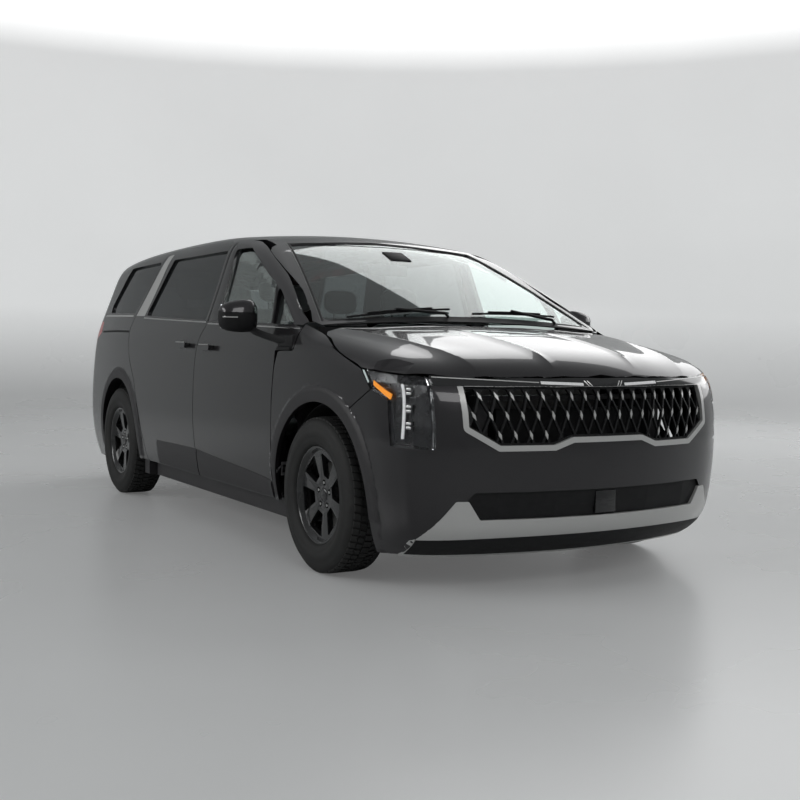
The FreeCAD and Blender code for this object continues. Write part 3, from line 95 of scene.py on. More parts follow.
def shader(name):
    """A new material, with its nodes, links and main shader."""
    made = bpy.data.materials.new(name)
    made.use_nodes = True
    return made, made.node_tree.nodes, made.node_tree.links, made.node_tree.nodes["Principled BSDF"]


def mottled(made, low, high, scale, low_rough, high_rough, bump=0.0, bump_scale=None, detail=4.0):
    """Gives a material's colour, roughness and relief a fine noise in object space."""
    tree, links = made.node_tree.nodes, made.node_tree.links
    main = tree["Principled BSDF"]
    place = tree.new("ShaderNodeTexCoord")
    noise = tree.new("ShaderNodeTexNoise")
    noise.inputs["Scale"].default_value = scale
    noise.inputs["Detail"].default_value = detail
    links.new(place.outputs["Object"], noise.inputs["Vector"])
    ramp = tree.new("ShaderNodeValToRGB")
    ramp.color_ramp.elements[0].position = 0.3
    ramp.color_ramp.elements[1].position = 0.7
    ramp.color_ramp.elements[0].color = (*low, 1)
    ramp.color_ramp.elements[1].color = (*high, 1)
    links.new(noise.outputs["Fac"], ramp.inputs["Fac"])
    links.new(ramp.outputs["Color"], main.inputs["Base Color"])
    spread = tree.new("ShaderNodeMapRange")
    spread.inputs["To Min"].default_value = low_rough
    spread.inputs["To Max"].default_value = high_rough
    links.new(noise.outputs["Fac"], spread.inputs["Value"])
    links.new(spread.outputs["Result"], main.inputs["Roughness"])
    if bump:
        grain = tree.new("ShaderNodeTexNoise")
        grain.inputs["Scale"].default_value = bump_scale or scale * 4
        grain.inputs["Detail"].default_value = 3
        links.new(place.outputs["Object"], grain.inputs["Vector"])
        relief = tree.new("ShaderNodeBump")
        relief.inputs["Strength"].default_value = bump
        relief.inputs["Distance"].default_value = 0.001
        links.new(grain.outputs["Fac"], relief.inputs["Height"])
        links.new(relief.outputs["Normal"], main.inputs["Normal"])


def surface(name, low, high, scale, low_rough, high_rough, settings=None, **grain):
    """A mottled material whose main shader has the given settings."""
    made, _, _, main = shader(name)
    mottled(made, low, high, scale, low_rough, high_rough, **grain)
    for key, value in (settings or {}).items():
        main.inputs[key].default_value = value
    return made


floor_finish, tree, links, main = shader("studio_floor")
mottled(floor_finish, (0.62, 0.63, 0.63), (0.66, 0.67, 0.67), 0.6, 0.22, 0.34)
place = tree.new("ShaderNodeTexCoord")
height = tree.new("ShaderNodeSeparateXYZ")
links.new(place.outputs["Object"], height.inputs["Vector"])
wall = tree.new("ShaderNodeValToRGB")
wall.color_ramp.elements[0].position = 0.02
wall.color_ramp.elements[0].color = (0.10, 0.10, 0.10, 1)
wall.color_ramp.elements[1].position = 0.16
wall.color_ramp.elements[1].color = (0.42, 0.425, 0.425, 1)
for stop, grey in ((0.60, 0.46), (0.66, 0.95)):
    wall.color_ramp.elements.new(stop).color = (grey, grey, grey, 1)
high = tree.new("ShaderNodeMath")
high.operation = "DIVIDE"
high.inputs[1].default_value = 10.0
links.new(height.outputs["Z"], high.inputs[0])
links.new(high.outputs["Value"], wall.inputs["Fac"])
rays = tree.new("ShaderNodeLightPath")
seen = tree.new("ShaderNodeMath")
seen.operation = "ADD"
seen.use_clamp = True
links.new(rays.outputs["Is Camera Ray"], seen.inputs[0])
links.new(rays.outputs["Is Transmission Ray"], seen.inputs[1])
links.new(wall.outputs["Color"], main.inputs["Emission Color"])
links.new(seen.outputs["Value"], main.inputs["Emission Strength"])
floor_mesh = bmesh.new()
circle = [(math.cos(2 * math.pi * k / 48), math.sin(2 * math.pi * k / 48)) for k in range(48)]
rings = [(r, 0.0) for r in (0.05, 3, 6, 9, 11)]
rings += [(11 + 3 * math.sin(t), 3 - 3 * math.cos(t)) for t in np.linspace(0.15, math.pi / 2, 10)]
rings += [(14, 5.0), (14, 10.0)]
grid = [[floor_mesh.verts.new((r * c, r * s, z)) for c, s in circle] for r, z in rings]
for a, b in zip(grid, grid[1:]):
    for k in range(48):
        floor_mesh.faces.new((a[k], a[(k + 1) % 48], b[(k + 1) % 48], b[k])).smooth = True
floor_mesh.faces.new(grid[0])
mesh = bpy.data.meshes.new("studio_floor")
floor_mesh.to_mesh(mesh)
floor_mesh.free()
mesh.materials.append(floor_finish)
floor = bpy.data.objects.new("studio_floor", mesh)
bpy.context.collection.objects.link(floor)

world = bpy.data.worlds.new("studio")
world.use_nodes = True
bpy.context.scene.world = world
sky = world.node_tree.nodes["Background"]
sky.inputs["Color"].default_value = (0.75, 0.77, 0.78, 1)
sky.inputs["Strength"].default_value = 0.36

# Body skin. The pressed sheet panels of the body share one smooth surface: side, roof, screen, nose and
# tail sections blended into each other. Panels are snapped to it, so their seams flow on across the gaps.
LENGTH, BODY_WIDTH, HEIGHT = 5155.0, 1995.0, 1740.0
WHEELBASE, FRONT_OVERHANG, TYRE_R = 3090.0, 935.0, 368.5
ARCH_R = TYRE_R + 70
BELT_Z, SILL_Z = 1165.0, 290.0
HALF = BODY_WIDTH / 2
NOSE_X, TAIL_X = LENGTH / 2, -LENGTH / 2
FRONT_AXLE = NOSE_X - FRONT_OVERHANG
REAR_AXLE = FRONT_AXLE - WHEELBASE


def spline(points):
    """A natural cubic curve through the given stations, for whole arrays."""
    xs = np.array([p[0] for p in points], float)
    ys = np.array([p[1] for p in points], float)
    n = len(xs)
    step = np.diff(xs)
    system = np.zeros((n, n))
    rhs = np.zeros(n)
    system[0, 0] = system[-1, -1] = 1
    for i in range(1, n - 1):
        system[i, i - 1], system[i, i], system[i, i + 1] = step[i - 1], 2 * (step[i - 1] + step[i]), step[i]
        rhs[i] = 6 * ((ys[i + 1] - ys[i]) / step[i] - (ys[i] - ys[i - 1]) / step[i - 1])
    bend = np.linalg.solve(system, rhs)

    def value(x):
        x = np.asarray(x, float)
        low = np.clip(np.searchsorted(xs, x) - 1, 0, n - 2)
        g = step[low]
        t = np.clip(x, xs[0], xs[-1]) - xs[low]
        r = g - t
        inside = (bend[low] * r ** 3 + bend[low + 1] * t ** 3) / (6 * g)
        inside = inside + (ys[low] / g - bend[low] * g / 6) * r
        inside = inside + (ys[low + 1] / g - bend[low + 1] * g / 6) * t
        first = (ys[1] - ys[0]) / step[0] - step[0] * bend[1] / 6
        last = (ys[-1] - ys[-2]) / step[-1] + step[-1] * bend[-2] / 6
        return inside + first * np.minimum(x - xs[0], 0) + last * np.maximum(x - xs[-1], 0)

    return value


def soft_max(a, b, k):
    h = np.maximum(k - np.abs(a - b), 0) / k
    return np.maximum(a, b) + h ** 3 * k / 6


def soft_min(a, b, k):
    return -soft_max(-a, -b, k)


plan_width = spline([(TAIL_X, HALF - 102), (TAIL_X + 277, HALF - 72), (TAIL_X + 477, HALF - 53),
                     (REAR_AXLE - 352, HALF - 31), (REAR_AXLE, HALF - 16), (REAR_AXLE + 747, HALF - 7),
                     (0, HALF - 5), (FRONT_AXLE - 942, HALF - 6), (FRONT_AXLE - 442, HALF - 10),
                     (FRONT_AXLE, HALF - 20), (FRONT_AXLE + 358, HALF - 40), (NOSE_X - 377, HALF - 55),
                     (NOSE_X - 177, HALF - 82), (NOSE_X, HALF - 117)])
side_lean = spline([(SILL_Z - 140, 66), (SILL_Z - 40, 42), (SILL_Z + 60, 21), (SILL_Z + 160, 8),
                    (SILL_Z + 310, 0), (BELT_Z - 415, 2), (BELT_Z - 265, 9), (BELT_Z - 165, 17),
                    (BELT_Z - 105, 24), (BELT_Z - 45, 36), (BELT_Z + 15, 53), (BELT_Z + 135, 92),
                    (BELT_Z + 285, 139), (HEIGHT - 120, 192), (HEIGHT + 10, 238)])
hood_crown = spline([(FRONT_AXLE - 342, HEIGHT - 544), (FRONT_AXLE - 162, HEIGHT - 560),
                     (FRONT_AXLE + 58, HEIGHT - 582), (FRONT_AXLE + 358, HEIGHT - 620),
                     (NOSE_X - 277, HEIGHT - 674), (NOSE_X - 127, HEIGHT - 706),
                     (NOSE_X + 23, HEIGHT - 746)])
roof_crown = spline([(TAIL_X, HEIGHT - 152), (TAIL_X + 277, HEIGHT - 100), (TAIL_X + 677, HEIGHT - 51),
                     (REAR_AXLE + 47, HEIGHT - 20), (REAR_AXLE + 647, HEIGHT - 2), (-250, HEIGHT + 2),
                     (100, HEIGHT - 9), (FRONT_AXLE - 1292, HEIGHT - 32),
                     (FRONT_AXLE - 1082, HEIGHT - 64), (FRONT_AXLE - 882, HEIGHT - 110)])
nose_profile = spline([(150, NOSE_X - 197), (200, NOSE_X - 122), (260, NOSE_X - 57), (350, NOSE_X - 22),
                       (450, NOSE_X - 10), (600, NOSE_X), (750, NOSE_X - 3), (900, NOSE_X - 20),
                       (1000, NOSE_X - 36)])
tail_profile = spline([(150, TAIL_X + 137), (250, TAIL_X + 57), (400, TAIL_X + 10), (550, TAIL_X),
                       (700, TAIL_X + 8), (900, TAIL_X + 33), (1050, TAIL_X + 54), (1150, TAIL_X + 75),
                       (1300, TAIL_X + 126), (1450, TAIL_X + 188), (HEIGHT - 140, TAIL_X + 260),
                       (HEIGHT + 10, TAIL_X + 338)])
edge_round = spline([(TAIL_X, 150), (REAR_AXLE, 150), (0, 150), (500, 130), (900, 95),
                     (FRONT_AXLE - 342, 100), (FRONT_AXLE, 130), (FRONT_AXLE + 358, 140), (NOSE_X, 140)])


def skin(p):
    """Zero on the body's surface and negative inside it, for an array of points in mm."""
    x, y, z = p[..., 0], np.abs(p[..., 1]), p[..., 2]
    hood = hood_crown(x) - (30 + (x - FRONT_AXLE + 162) * 0.045) * (y / 800) ** 2
    screen = 1190 + 0.4908 * (FRONT_AXLE - 160 - x) + 14 * (1 - ((x - FRONT_AXLE + 652) / 490) ** 2)
    screen = screen - 45 * (y / 830) ** 2
    roof = roof_crown(x) - 30 * (y / 600) ** 2
    top = soft_min(screen, roof, 90)
    top = np.where(x > 900, soft_max(top, hood, 50), top)
    value = soft_max(y - plan_width(x) + side_lean(z), z - top, edge_round(x))
    ahead = soft_max(value, x - nose_profile(z) + 240e-6 * y * y, 300)
    behind = soft_max(value, tail_profile(z) + 170e-6 * y * y - x, 240)
    return np.where(x > 1000, ahead, np.where(x < -1000, behind, value))


def crease_line(x):
    """How far from the middle the hood's outer crease runs."""
    return 797 - 0.218 * (x - 1453)


def strake_line(x):
    return 262 - 0.045 * (x - 1823)


def ridge(d, inner, outer):
    """A sharp edge that falls away on both sides."""
    return np.where(d < 0, np.clip(1 + d / inner, 0, 1) ** 2, np.clip(1 - d / outer, 0, 1) ** 2)


def relief(p):
    """How far pressed shapes stand out of the smooth surface: arch flares and the hood's creases."""
    x, y, z = p[..., 0], np.abs(p[..., 1]), p[..., 2]
    out = np.zeros_like(x)
    side = np.clip((y - 800) / 60, 0, 1)
    for axle in (FRONT_AXLE, REAR_AXLE):
        r = np.hypot(x - axle, z - TYRE_R)
        flare = np.clip((ARCH_R + 78 - r) / 16, 0, 1)
        flare = flare * flare * (3 - 2 * flare)
        out = out + side * flare * 7 * np.clip((z - 60) / 60, 0, 1)
    on_top = np.clip((z - 930) / 60, 0, 1)
    fade = np.clip((x - 1462) / 160, 0, 1) * np.clip((2470 - x) / 300, 0, 1) * on_top
    out = out + 11 * fade * ridge(y - crease_line(x), 170, 95)
    fade = np.clip((x - 1700) / 200, 0, 1) * np.clip((2470 - x) / 100, 0, 1) * on_top
    return out + 7 * fade * ridge(strake_line(x) - y, 60, 45)


def slope(function, p, h=0.5):
    out = np.empty_like(p)
    for axis in range(3):
        step = np.zeros(3)
        step[axis] = h
        out[..., axis] = (function(p + step) - function(p - step)) / (2 * h)
    return out


def distance(p):
    g = slope(skin, p)
    return skin(p) / np.maximum(np.linalg.norm(g, axis=-1), 1e-6)


def dressed(p):
    return distance(p) - relief(p)


def link(name, mesh, material, body, replaced=()):
    made = bpy.data.objects.new(name, mesh)
    bpy.context.collection.objects.link(made)
    mesh.materials.clear()
    mesh.materials.append(material)
    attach(made, body)
    if replaced:
        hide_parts(*replaced)
    return made


def split_long(work, longest, depth):
    """Halves the long edges of the outer sheet until it is fine enough to bend."""
    for _ in range(7):
        outer, inner = sheet_faces(work, depth)
        chosen = [f for f, a, b in zip(work.faces, outer, inner) if a or b]
        long_edges = list({e for f in chosen for e in f.edges if e.calc_length() * 1000 > longest})
        if not long_edges:
            return
        bmesh.ops.subdivide_edges(work, edges=long_edges, cuts=1)
        bmesh.ops.triangulate(work, faces=[f for f in work.faces if len(f.verts) > 3])


def sheet_faces(work, depth):
    """Which faces lie along the skin and look out, and which look in."""
    work.faces.ensure_lookup_table()
    work.normal_update()
    centres = np.array([f.calc_center_median() for f in work.faces]) * 1000
    g = slope(skin, centres)
    g = g / np.linalg.norm(g, axis=1)[:, None]
    turned = np.sum(np.array([f.normal for f in work.faces]) * g, axis=1)
    near = np.abs(distance(centres)) < depth
    return near & (turned > 0.6), near & (turned < -0.6)


def panel(name, node, material, body, snap=True, longest=34.0, depth=16.0, creases=()):
    """A smooth sheet panel: the node's form with its outer sheet split and laid on the skin."""
    work = bmesh.new()
    work.from_mesh(nodes[node].data)
    bmesh.ops.remove_doubles(work, verts=work.verts, dist=2e-5)
    for line in creases:
        for side in (1, -1):
            a = Vector((1.4, side * line(1400) / 1000, 0))
            b = Vector((2.4, side * line(2400) / 1000, 0))
            bmesh.ops.bisect_plane(work, geom=work.verts[:] + work.edges[:] + work.faces[:], plane_co=a,
                                   plane_no=(b - a).cross(Vector((0, 0, 1))))
    bmesh.ops.triangulate(work, faces=[f for f in work.faces if len(f.verts) > 3])
    split_long(work, longest, depth)
    outer, inner = sheet_faces(work, depth)
    points = np.array([v.co for v in work.verts]) * 1000
    work.verts.index_update()
    if snap:
        chosen = sorted({v.index for f, a in zip(work.faces, outer) if a for v in f.verts})
        moved = points[chosen]
        for _ in range(4):
            g = slope(skin, moved)
            moved = moved - g / np.linalg.norm(g, axis=1)[:, None] * dressed(moved)[:, None]
        points[chosen] = np.clip(moved, np.array(cad_box[0]) * 1000 + 0.2,
                                 np.array(cad_box[1]) * 1000 - 0.2)
        for v, p in zip(work.verts, points):
            v.co = p / 1000
    mesh = bpy.data.meshes.new(name)
    work.to_mesh(mesh)
    work.free()
    mesh.shade_smooth()
    mesh.set_sharp_from_angle(angle=math.radians(28))
    sign = np.where(outer, 1, np.where(inner, -1, 0))[:, None]
    corner_vert = np.empty(len(mesh.loops), dtype=np.int32)
    mesh.loops.foreach_get("vertex_index", corner_vert)
    corners = points[corner_vert].reshape(-1, 3, 3)
    middle = corners.mean(axis=1)[:, None, :]
    shaded = outer | inner
    at = corners[shaded] + (middle[shaded] - corners[shaded]) * 0.15
    g = slope(dressed if snap else skin, at, 1.0)
    custom = np.zeros_like(corners)
    custom[shaded] = g / np.linalg.norm(g, axis=-1)[..., None] * sign[shaded][:, None, :]
    mesh.normals_split_custom_set([tuple(c) for c in custom.reshape(-1, 3)])
    return link(name, mesh, material, body, (node,))


paint = surface("body_paint", (0.017, 0.0155, 0.0175), (0.026, 0.0235, 0.027), 900, 0.28, 0.38,
                detail=1.0, settings={"Metallic": 0.65, "Coat Weight": 1.0, "Coat Roughness": 0.03,
                                      "Coat IOR": 1.5})
for node, body in (("side_frames", "body"), ("roof", "body"), ("front_fenders", "body"),
                   ("front_bumper", "body"), ("rear_bumper", "body"), ("sliding_doors", "body"),
                   ("tailgate", "tailgate"), ("door_front_left", "front_door_left"),
                   ("door_front_right", "front_door_right")):
    panel(node + "_panel", node, paint, body)
panel("hood_panel", "hood", paint, "hood", longest=22.0, creases=(crease_line, strake_line))

# Glass. The screen and the front doors carry clear green-tinted panes; the rear ones are dyed dark in the
# melt. Each pane is bonded or held a little under the panels' surface.
screen_glass, tree, links, main = shader("screen_glass")
main.inputs["Base Color"].default_value = (0.80, 0.90, 0.87, 1)
main.inputs["Transmission Weight"].default_value = 1.0
main.inputs["Roughness"].default_value = 0.0
main.inputs["IOR"].default_value = 1.45
privacy_glass, tree, links, main = shader("privacy_glass")
main.inputs["Base Color"].default_value = (0.10, 0.11, 0.115, 1)
main.inputs["Transmission Weight"].default_value = 0.85
main.inputs["Roughness"].default_value = 0.01
main.inputs["IOR"].default_value = 1.5
for node, body, glass, slot_name in (
        ("windshield", "body", screen_glass, "screen_glass"),
        ("glass_front_left", "front_door_left", screen_glass, "screen_glass"),
        ("glass_front_right", "front_door_right", screen_glass, "screen_glass"),
        ("side_glass_rear", "body", privacy_glass, "privacy_glass"),
        ("tailgate_glass", "tailgate", privacy_glass, "privacy_glass")):
    panel(node + "_pane", node, glass, body, snap=False, longest=60.0, depth=28.0)

# Trim on the skin: strips of plastic and bright metal clipped to the doors and pillars. Each is a band
# between two edges drawn on the side, front or top of the body, standing a few millimetres proud.


def resample(edge, count):
    """Points at even steps along a smooth line through the given ones."""
    pts = np.array(edge, float)
    run = np.concatenate([[0], np.cumsum(np.hypot(*np.diff(pts, axis=0).T))])
    t = np.linspace(0, run[-1], count)
    if len(pts) < 3:
        return np.stack([np.interp(t, run, pts[:, k]) for k in (0, 1)], axis=1)
    return np.stack([spline(list(zip(run, pts[:, k])))(t) for k in (0, 1)], axis=1)


def on_skin(first, second, view, near, far):
    """Where lines of sight across the body meet the skin, by halving."""
    low, high = np.full(first.shape, float(near)), np.full(first.shape, float(far))

    def spot(depth):
        if view == "side":
            return np.stack([first, depth, second], axis=-1)
        if view == "front":
            return np.stack([depth, first, second], axis=-1)
        return np.stack([first, second, depth], axis=-1)

    for _ in range(36):
        middle = (low + high) / 2
        inside = skin(spot(middle)) < 0
        low, high = np.where(inside, middle, low), np.where(inside, high, middle)
    return spot(low)


SIGHT = {"side": (400, 1200), "front": (1400, 2800), "rear": (-1400, -2800), "top": (500, 1900)}


def sheet_mesh(name, outer, inner, mirrored=False):
    """A closed mesh between two grids of points in mm; mirrored adds the same on the other side."""
    work = bmesh.new()
    n, m = outer.shape[:2]
    for side in ((1, -1) if mirrored else (1,)):
        flip = np.array([1, side, 1]) / 1000
        top = [[work.verts.new(outer[i, j] * flip) for j in range(m)] for i in range(n)]
        low = [[work.verts.new(inner[i, j] * flip) for j in range(m)] for i in range(n)]
        for i in range(n - 1):
            for j in range(m - 1):
                work.faces.new((top[i][j], top[i + 1][j], top[i + 1][j + 1], top[i][j + 1]))
                work.faces.new((low[i][j], low[i][j + 1], low[i + 1][j + 1], low[i + 1][j]))
        rim_top = top[0] + [r[-1] for r in top[1:]] + top[-1][-2::-1] + [r[0] for r in top[-2:0:-1]]
        rim_low = low[0] + [r[-1] for r in low[1:]] + low[-1][-2::-1] + [r[0] for r in low[-2:0:-1]]
        for k in range(len(rim_top)):
            q = (k + 1) % len(rim_top)
            work.faces.new((rim_top[k], rim_top[q], rim_low[q], rim_low[k]))
    bmesh.ops.recalc_face_normals(work, faces=work.faces)
    mesh = bpy.data.meshes.new(name)
    work.to_mesh(mesh)
    work.free()
    mesh.shade_smooth()
    mesh.set_sharp_from_angle(angle=math.radians(35))
    return mesh


def band(name, edge_a, edge_b, material, body, proud=3.0, sink=1.5, view="side", steps=40,
         rows=4, mirrored=False, side=1, soft=0.35):
    """A strip of trim laid on the skin between two edges."""
    a, b = resample(edge_a, steps), resample(edge_b, steps)
    t = np.linspace(0, 1, rows)[None, :, None]
    flat = a[:, None, :] * (1 - t) + b[:, None, :] * t
    near, far = SIGHT[view]
    base = on_skin(flat[..., 0], flat[..., 1], "front" if view == "rear" else view, near, far)
    out = slope(skin, base)
    out = out / np.linalg.norm(out, axis=-1)[..., None]
    height = np.full(base.shape[:2], float(proud))
    height[:, 0] *= soft
    height[:, -1] *= soft
    outer = base + out * (relief(base) + height)[..., None]
    inner = base + out * (relief(base) - sink)[..., None]
    if side < 0:
        outer, inner = outer * np.array([1, -1, 1]), inner * np.array([1, -1, 1])
    return link(name, sheet_mesh(name, outer, inner, mirrored), material, body, ())


bright = surface("bright_trim", (0.60, 0.60, 0.59), (0.66, 0.66, 0.65), 60, 0.12, 0.2,
                 settings={"Metallic": 1.0})
satin_silver = surface("satin_silver", (0.58, 0.58, 0.57), (0.64, 0.64, 0.63), 700, 0.36, 0.46,
                       detail=1.0, settings={"Metallic": 0.35, "Coat Weight": 0.5, "Coat Roughness": 0.1})
gloss_black = surface("gloss_black", (0.008, 0.008, 0.009), (0.012, 0.012, 0.013), 40, 0.08, 0.14,
                      settings={"Coat Weight": 0.6, "Coat Roughness": 0.04})
trim_black = surface("trim_black", (0.007, 0.007, 0.008), (0.012, 0.012, 0.013), 30, 0.5, 0.65, bump=0.25,
                     bump_scale=900, settings={"Specular IOR Level": 0.3})
cladding_grey = surface("cladding_grey", (0.030, 0.029, 0.031), (0.038, 0.036, 0.039), 35, 0.42, 0.52,
                        bump=0.15, bump_scale=900)

for tag, side in (("left", 1), ("right", -1)):
    door = "front_door_" + tag
    band("belt_bright_front_" + tag, [(158, 1184), (600, 1174), (1050, 1163), (1378, 1152)],
         [(158, 1175), (600, 1165), (1050, 1154), (1380, 1146)], bright, door,
         4, side=side)
    band("door_cladding_" + tag, [(110, 446), (600, 418), (1021, 392), (1148, 380)],
         [(110, 294), (600, 294), (1021, 294), (1160, 294)], cladding_grey, door, 6,
         side=side, rows=7)
    band("pillar_black_" + tag, [(160, 1192), (168, 1400), (184, 1640)],
         [(286, 1196), (262, 1400), (246, 1612)], gloss_black, door, 2,
         side=side, steps=24)
    band("mirror_divider_" + tag, [(1044, 1176), (1000, 1290), (952, 1370)],
         [(1064, 1176), (1018, 1290), (982, 1362)], trim_black, door, 2,
         side=side, steps=16)
band("belt_bright_slide", [(-1056, 1226), (-500, 1210), (128, 1192)],
     [(-1056, 1217), (-500, 1201), (128, 1183)], bright, "body", 4, mirrored=True)
band("belt_bright_quarter", [(-2100, 1252), (-1700, 1248), (-1318, 1243)],
     [(-2100, 1241), (-1700, 1237), (-1318, 1232)], satin_silver, "body", 4,
     mirrored=True)
band("pillar_band", [(-1248, 1237), (-1100, 1440), (-962, 1630)], [(-1063, 1234), (-965, 1430),
                                                                   (-868, 1638)], satin_silver, "body",
     3, mirrored=True, rows=8)
band("pillar_black_slide", [(116, 1192), (124, 1400), (132, 1640)],
     [(146, 1192), (160, 1400), (170, 1640)], gloss_black, "body", 2,
     mirrored=True, steps=24)
band("slide_cladding", [(-612, 441), (-300, 446), (98, 448)], [(-612, 294), (-300, 294), (96, 294)],
     cladding_grey, "body", 6, mirrored=True, rows=7)
band("slide_rail", [(-2051, 1136), (-1600, 1140), (-1312, 1138)], [(-2051, 1122), (-1600, 1126),
                                                                   (-1312, 1124)], trim_black, "body",
     0.6, mirrored=True)

# Front end. The grille frame and skid plate are plated plastic, the light bar is gloss black, and the lamps
# are clear covers over black housings that hold three cubes of lenses and a bright strip.
panel("grille_surround_skin", "grille_surround", satin_silver, "body")
panel("skid_plate_skin", "skid_plate", satin_silver, "body")
panel("light_bar_skin", "light_bar", gloss_black, "body")
lens_clear, tree, links, main = shader("lens_clear")
main.inputs["Base Color"].default_value = (0.93, 0.94, 0.95, 1)
main.inputs["Transmission Weight"].default_value = 1.0
main.inputs["Roughness"].default_value = 0.02
main.inputs["IOR"].default_value = 1.15
panel("headlamps_lens", "headlamps", lens_clear, "body", depth=6.0)
lamp_dark = surface("lamp_dark", (0.012, 0.012, 0.013), (0.02, 0.02, 0.022), 50, 0.12, 0.3)
drl = surface("drl", (0.80, 0.81, 0.82), (0.9, 0.9, 0.9), 80, 0.2, 0.3,
              settings={"Emission Color": (1, 1, 1, 1), "Emission Strength": 0.12})
amber = surface("amber", (0.85, 0.27, 0.02), (0.95, 0.34, 0.03), 300, 0.15, 0.25,
                settings={"Emission Color": (1.0, 0.33, 0.02, 1), "Emission Strength": 0.45})
cast_steel = surface("cast_steel", (0.06, 0.06, 0.06), (0.10, 0.098, 0.095), 40, 0.45, 0.65, bump=0.3,
                     bump_scale=300, settings={"Metallic": 0.6})


def finish(node, material):
    """Gives a part that stays as it is its real finish."""
    target = nodes[node]
    target.data.materials.clear()
    target.data.materials.append(material)


for node in ("grille", "lower_grille"):
    finish(node, trim_black)
finish("grille_inserts", satin_silver)
finish("lamp_units", lamp_dark)
band("lamp_upright", [(895, 915), (900, 800), (906, 684)], [(889, 915), (894, 800), (900, 684)], drl,
     "body", proud=-4.5, sink=12, view="front", mirrored=True, rows=4, soft=1)
band("lamp_amber", [(2108, 925), (2236, 870)], [(2112, 905), (2228, 848)], amber, "body",
     proud=-4.5, sink=10, mirrored=True, steps=16, soft=1)
band("day_strip", [(-330, 932), (-118, 925)], [(-330, 920), (-118, 913)], drl, "body",
     proud=1.5, view="front", steps=30, mirrored=True)
band("day_strip_outer", [(-788, 949), (-560, 939), (-338, 929)], [(-788, 945), (-560, 935), (-338, 925)],
     satin_silver, "body", proud=1.5, view="front", steps=40, mirrored=True)
for k, y in enumerate((-104, -88)):
    band("bar_break_%d" % k, [(y - 6, 934), (y + 14, 910)], [(y, 934), (y + 20, 910)], bright, "body",
         proud=1.2, view="front", steps=8, mirrored=True)


def solid(name, work, material, body, replaced=(), sharp=35):
    """Links a mesh drawn in mm as a finished piece."""
    bmesh.ops.recalc_face_normals(work, faces=work.faces)
    bmesh.ops.scale(work, vec=(0.001, 0.001, 0.001), verts=work.verts)
    mesh = bpy.data.meshes.new(name)
    work.to_mesh(mesh)
    work.free()
    mesh.shade_smooth()
    mesh.set_sharp_from_angle(angle=math.radians(sharp))
    return link(name, mesh, material, body, replaced)


def block(work, low, high, r, spin=None, steps=2):
    """A block with rounded edges between two corners; spin turns it about its middle."""
    low, high = Vector(low), Vector(high)
    size = high - low
    place = Matrix.Translation((low + high) / 2) @ (spin or Matrix.Identity(4))
    made = bmesh.ops.create_cube(work, size=1, matrix=place @ Matrix.Diagonal((*size, 1)))
    edges = list({e for v in made["verts"] for e in v.link_edges})
    bmesh.ops.bevel(work, geom=edges, offset=r, segments=steps, profile=0.5, affect="EDGES")


def tube(work, path, r, sides=10):
    """A round bar along a path of points, closed at its ends."""
    path = [Vector(p) for p in path]
    rings = []
    for i, p in enumerate(path):
        along = (path[min(i + 1, len(path) - 1)] - path[max(i - 1, 0)]).normalized()
        across = along.cross(Vector((0.13, 0.31, 1))).normalized()
        third = along.cross(across)
        rings.append([work.verts.new(p + (across * math.cos(a) + third * math.sin(a)) * r)
                      for a in (2 * math.pi * k / sides for k in range(sides))])
    for a, b in zip(rings, rings[1:]):
        for k in range(sides):
            work.faces.new((a[k], a[(k + 1) % sides], b[(k + 1) % sides], b[k]))
    work.faces.new(rings[0][::-1])
    work.faces.new(rings[-1])


def lathe(work, profile, centre, steps=48, side=1):
    """A ring or disc: a closed profile of (along, radius) turned about an axis through centre."""
    rows = []
    for k in range(steps):
        a = 2 * math.pi * k / steps
        row = []
        for along, r in profile:
            row.append(work.verts.new(Vector(centre) + Vector((r * math.sin(a), side * along,
                                                               r * math.cos(a)))))
        rows.append(row)
    n = len(profile)
    for k in range(steps):
        a, b = rows[k], rows[(k + 1) % steps]
        for i in range(n):
            work.faces.new((a[i], a[(i + 1) % n], b[(i + 1) % n], b[i]))
    bmesh.ops.remove_doubles(work, verts=work.verts, dist=0.01)


cubes = bmesh.new()
rims = bmesh.new()
for side in (1, -1):
    for x, y, z in ((2311, 868, 884), (2322, 873, 811), (2326, 874, 740)):
        spin = Matrix.Rotation(side * math.radians(62), 4, "Z")
        middle = Vector((x - 14, side * y, z))
        block(rims, middle - Vector((5, 20, 22)), middle + Vector((5, 20, 22)), 3, spin)
        for lift in (-9, 9):
            lens_at = middle + Vector((3, side * 3, lift))
            block(cubes, lens_at - Vector((5, 13, 6)), lens_at + Vector((5, 13, 6)), 2.5, spin)
solid("lamp_cube_rims", rims, lamp_dark, "body", ())
solid("lamp_cubes", cubes, bright, "body", ())
radar = bmesh.new()
block(radar, (2538, -58, 352), (2560, 58, 452), 6)
solid("radar_cover", radar, gloss_black, "body", ())
band("chin", [(-829, 250), (-600, 257), (0, 262), (600, 257), (829, 250)],
     [(-829, 175), (-600, 175), (0, 175), (600, 175), (829, 175)], trim_black, "body",
     proud=2.5, view="front", rows=6, steps=60)

# Arch flares and sills. Grained grey plastic mouldings clipped round the wheel openings and along the sill.


def arch_band(name, axle, low_x, high_x):
    """A ring of cladding round a wheel opening, narrowed where it would meet a door."""
    angles = np.radians(np.linspace(-97, 97, 72))
    inner = [(axle + (ARCH_R + 1) * math.sin(a), TYRE_R + (ARCH_R + 1) * math.cos(a)) for a in angles]
    outer = []
    for a in angles:
        r = ARCH_R + 76
        if a < 0:
            r = min(r, (axle - low_x) / max(-math.sin(a), 0.01))
        else:
            r = min(r, (high_x - axle) / max(math.sin(a), 0.01))
        outer.append((axle + r * math.sin(a), TYRE_R + r * math.cos(a)))
    band(name, outer, inner, cladding_grey, "body", proud=3.5, sink=2, steps=72, rows=6,
         mirrored=True)


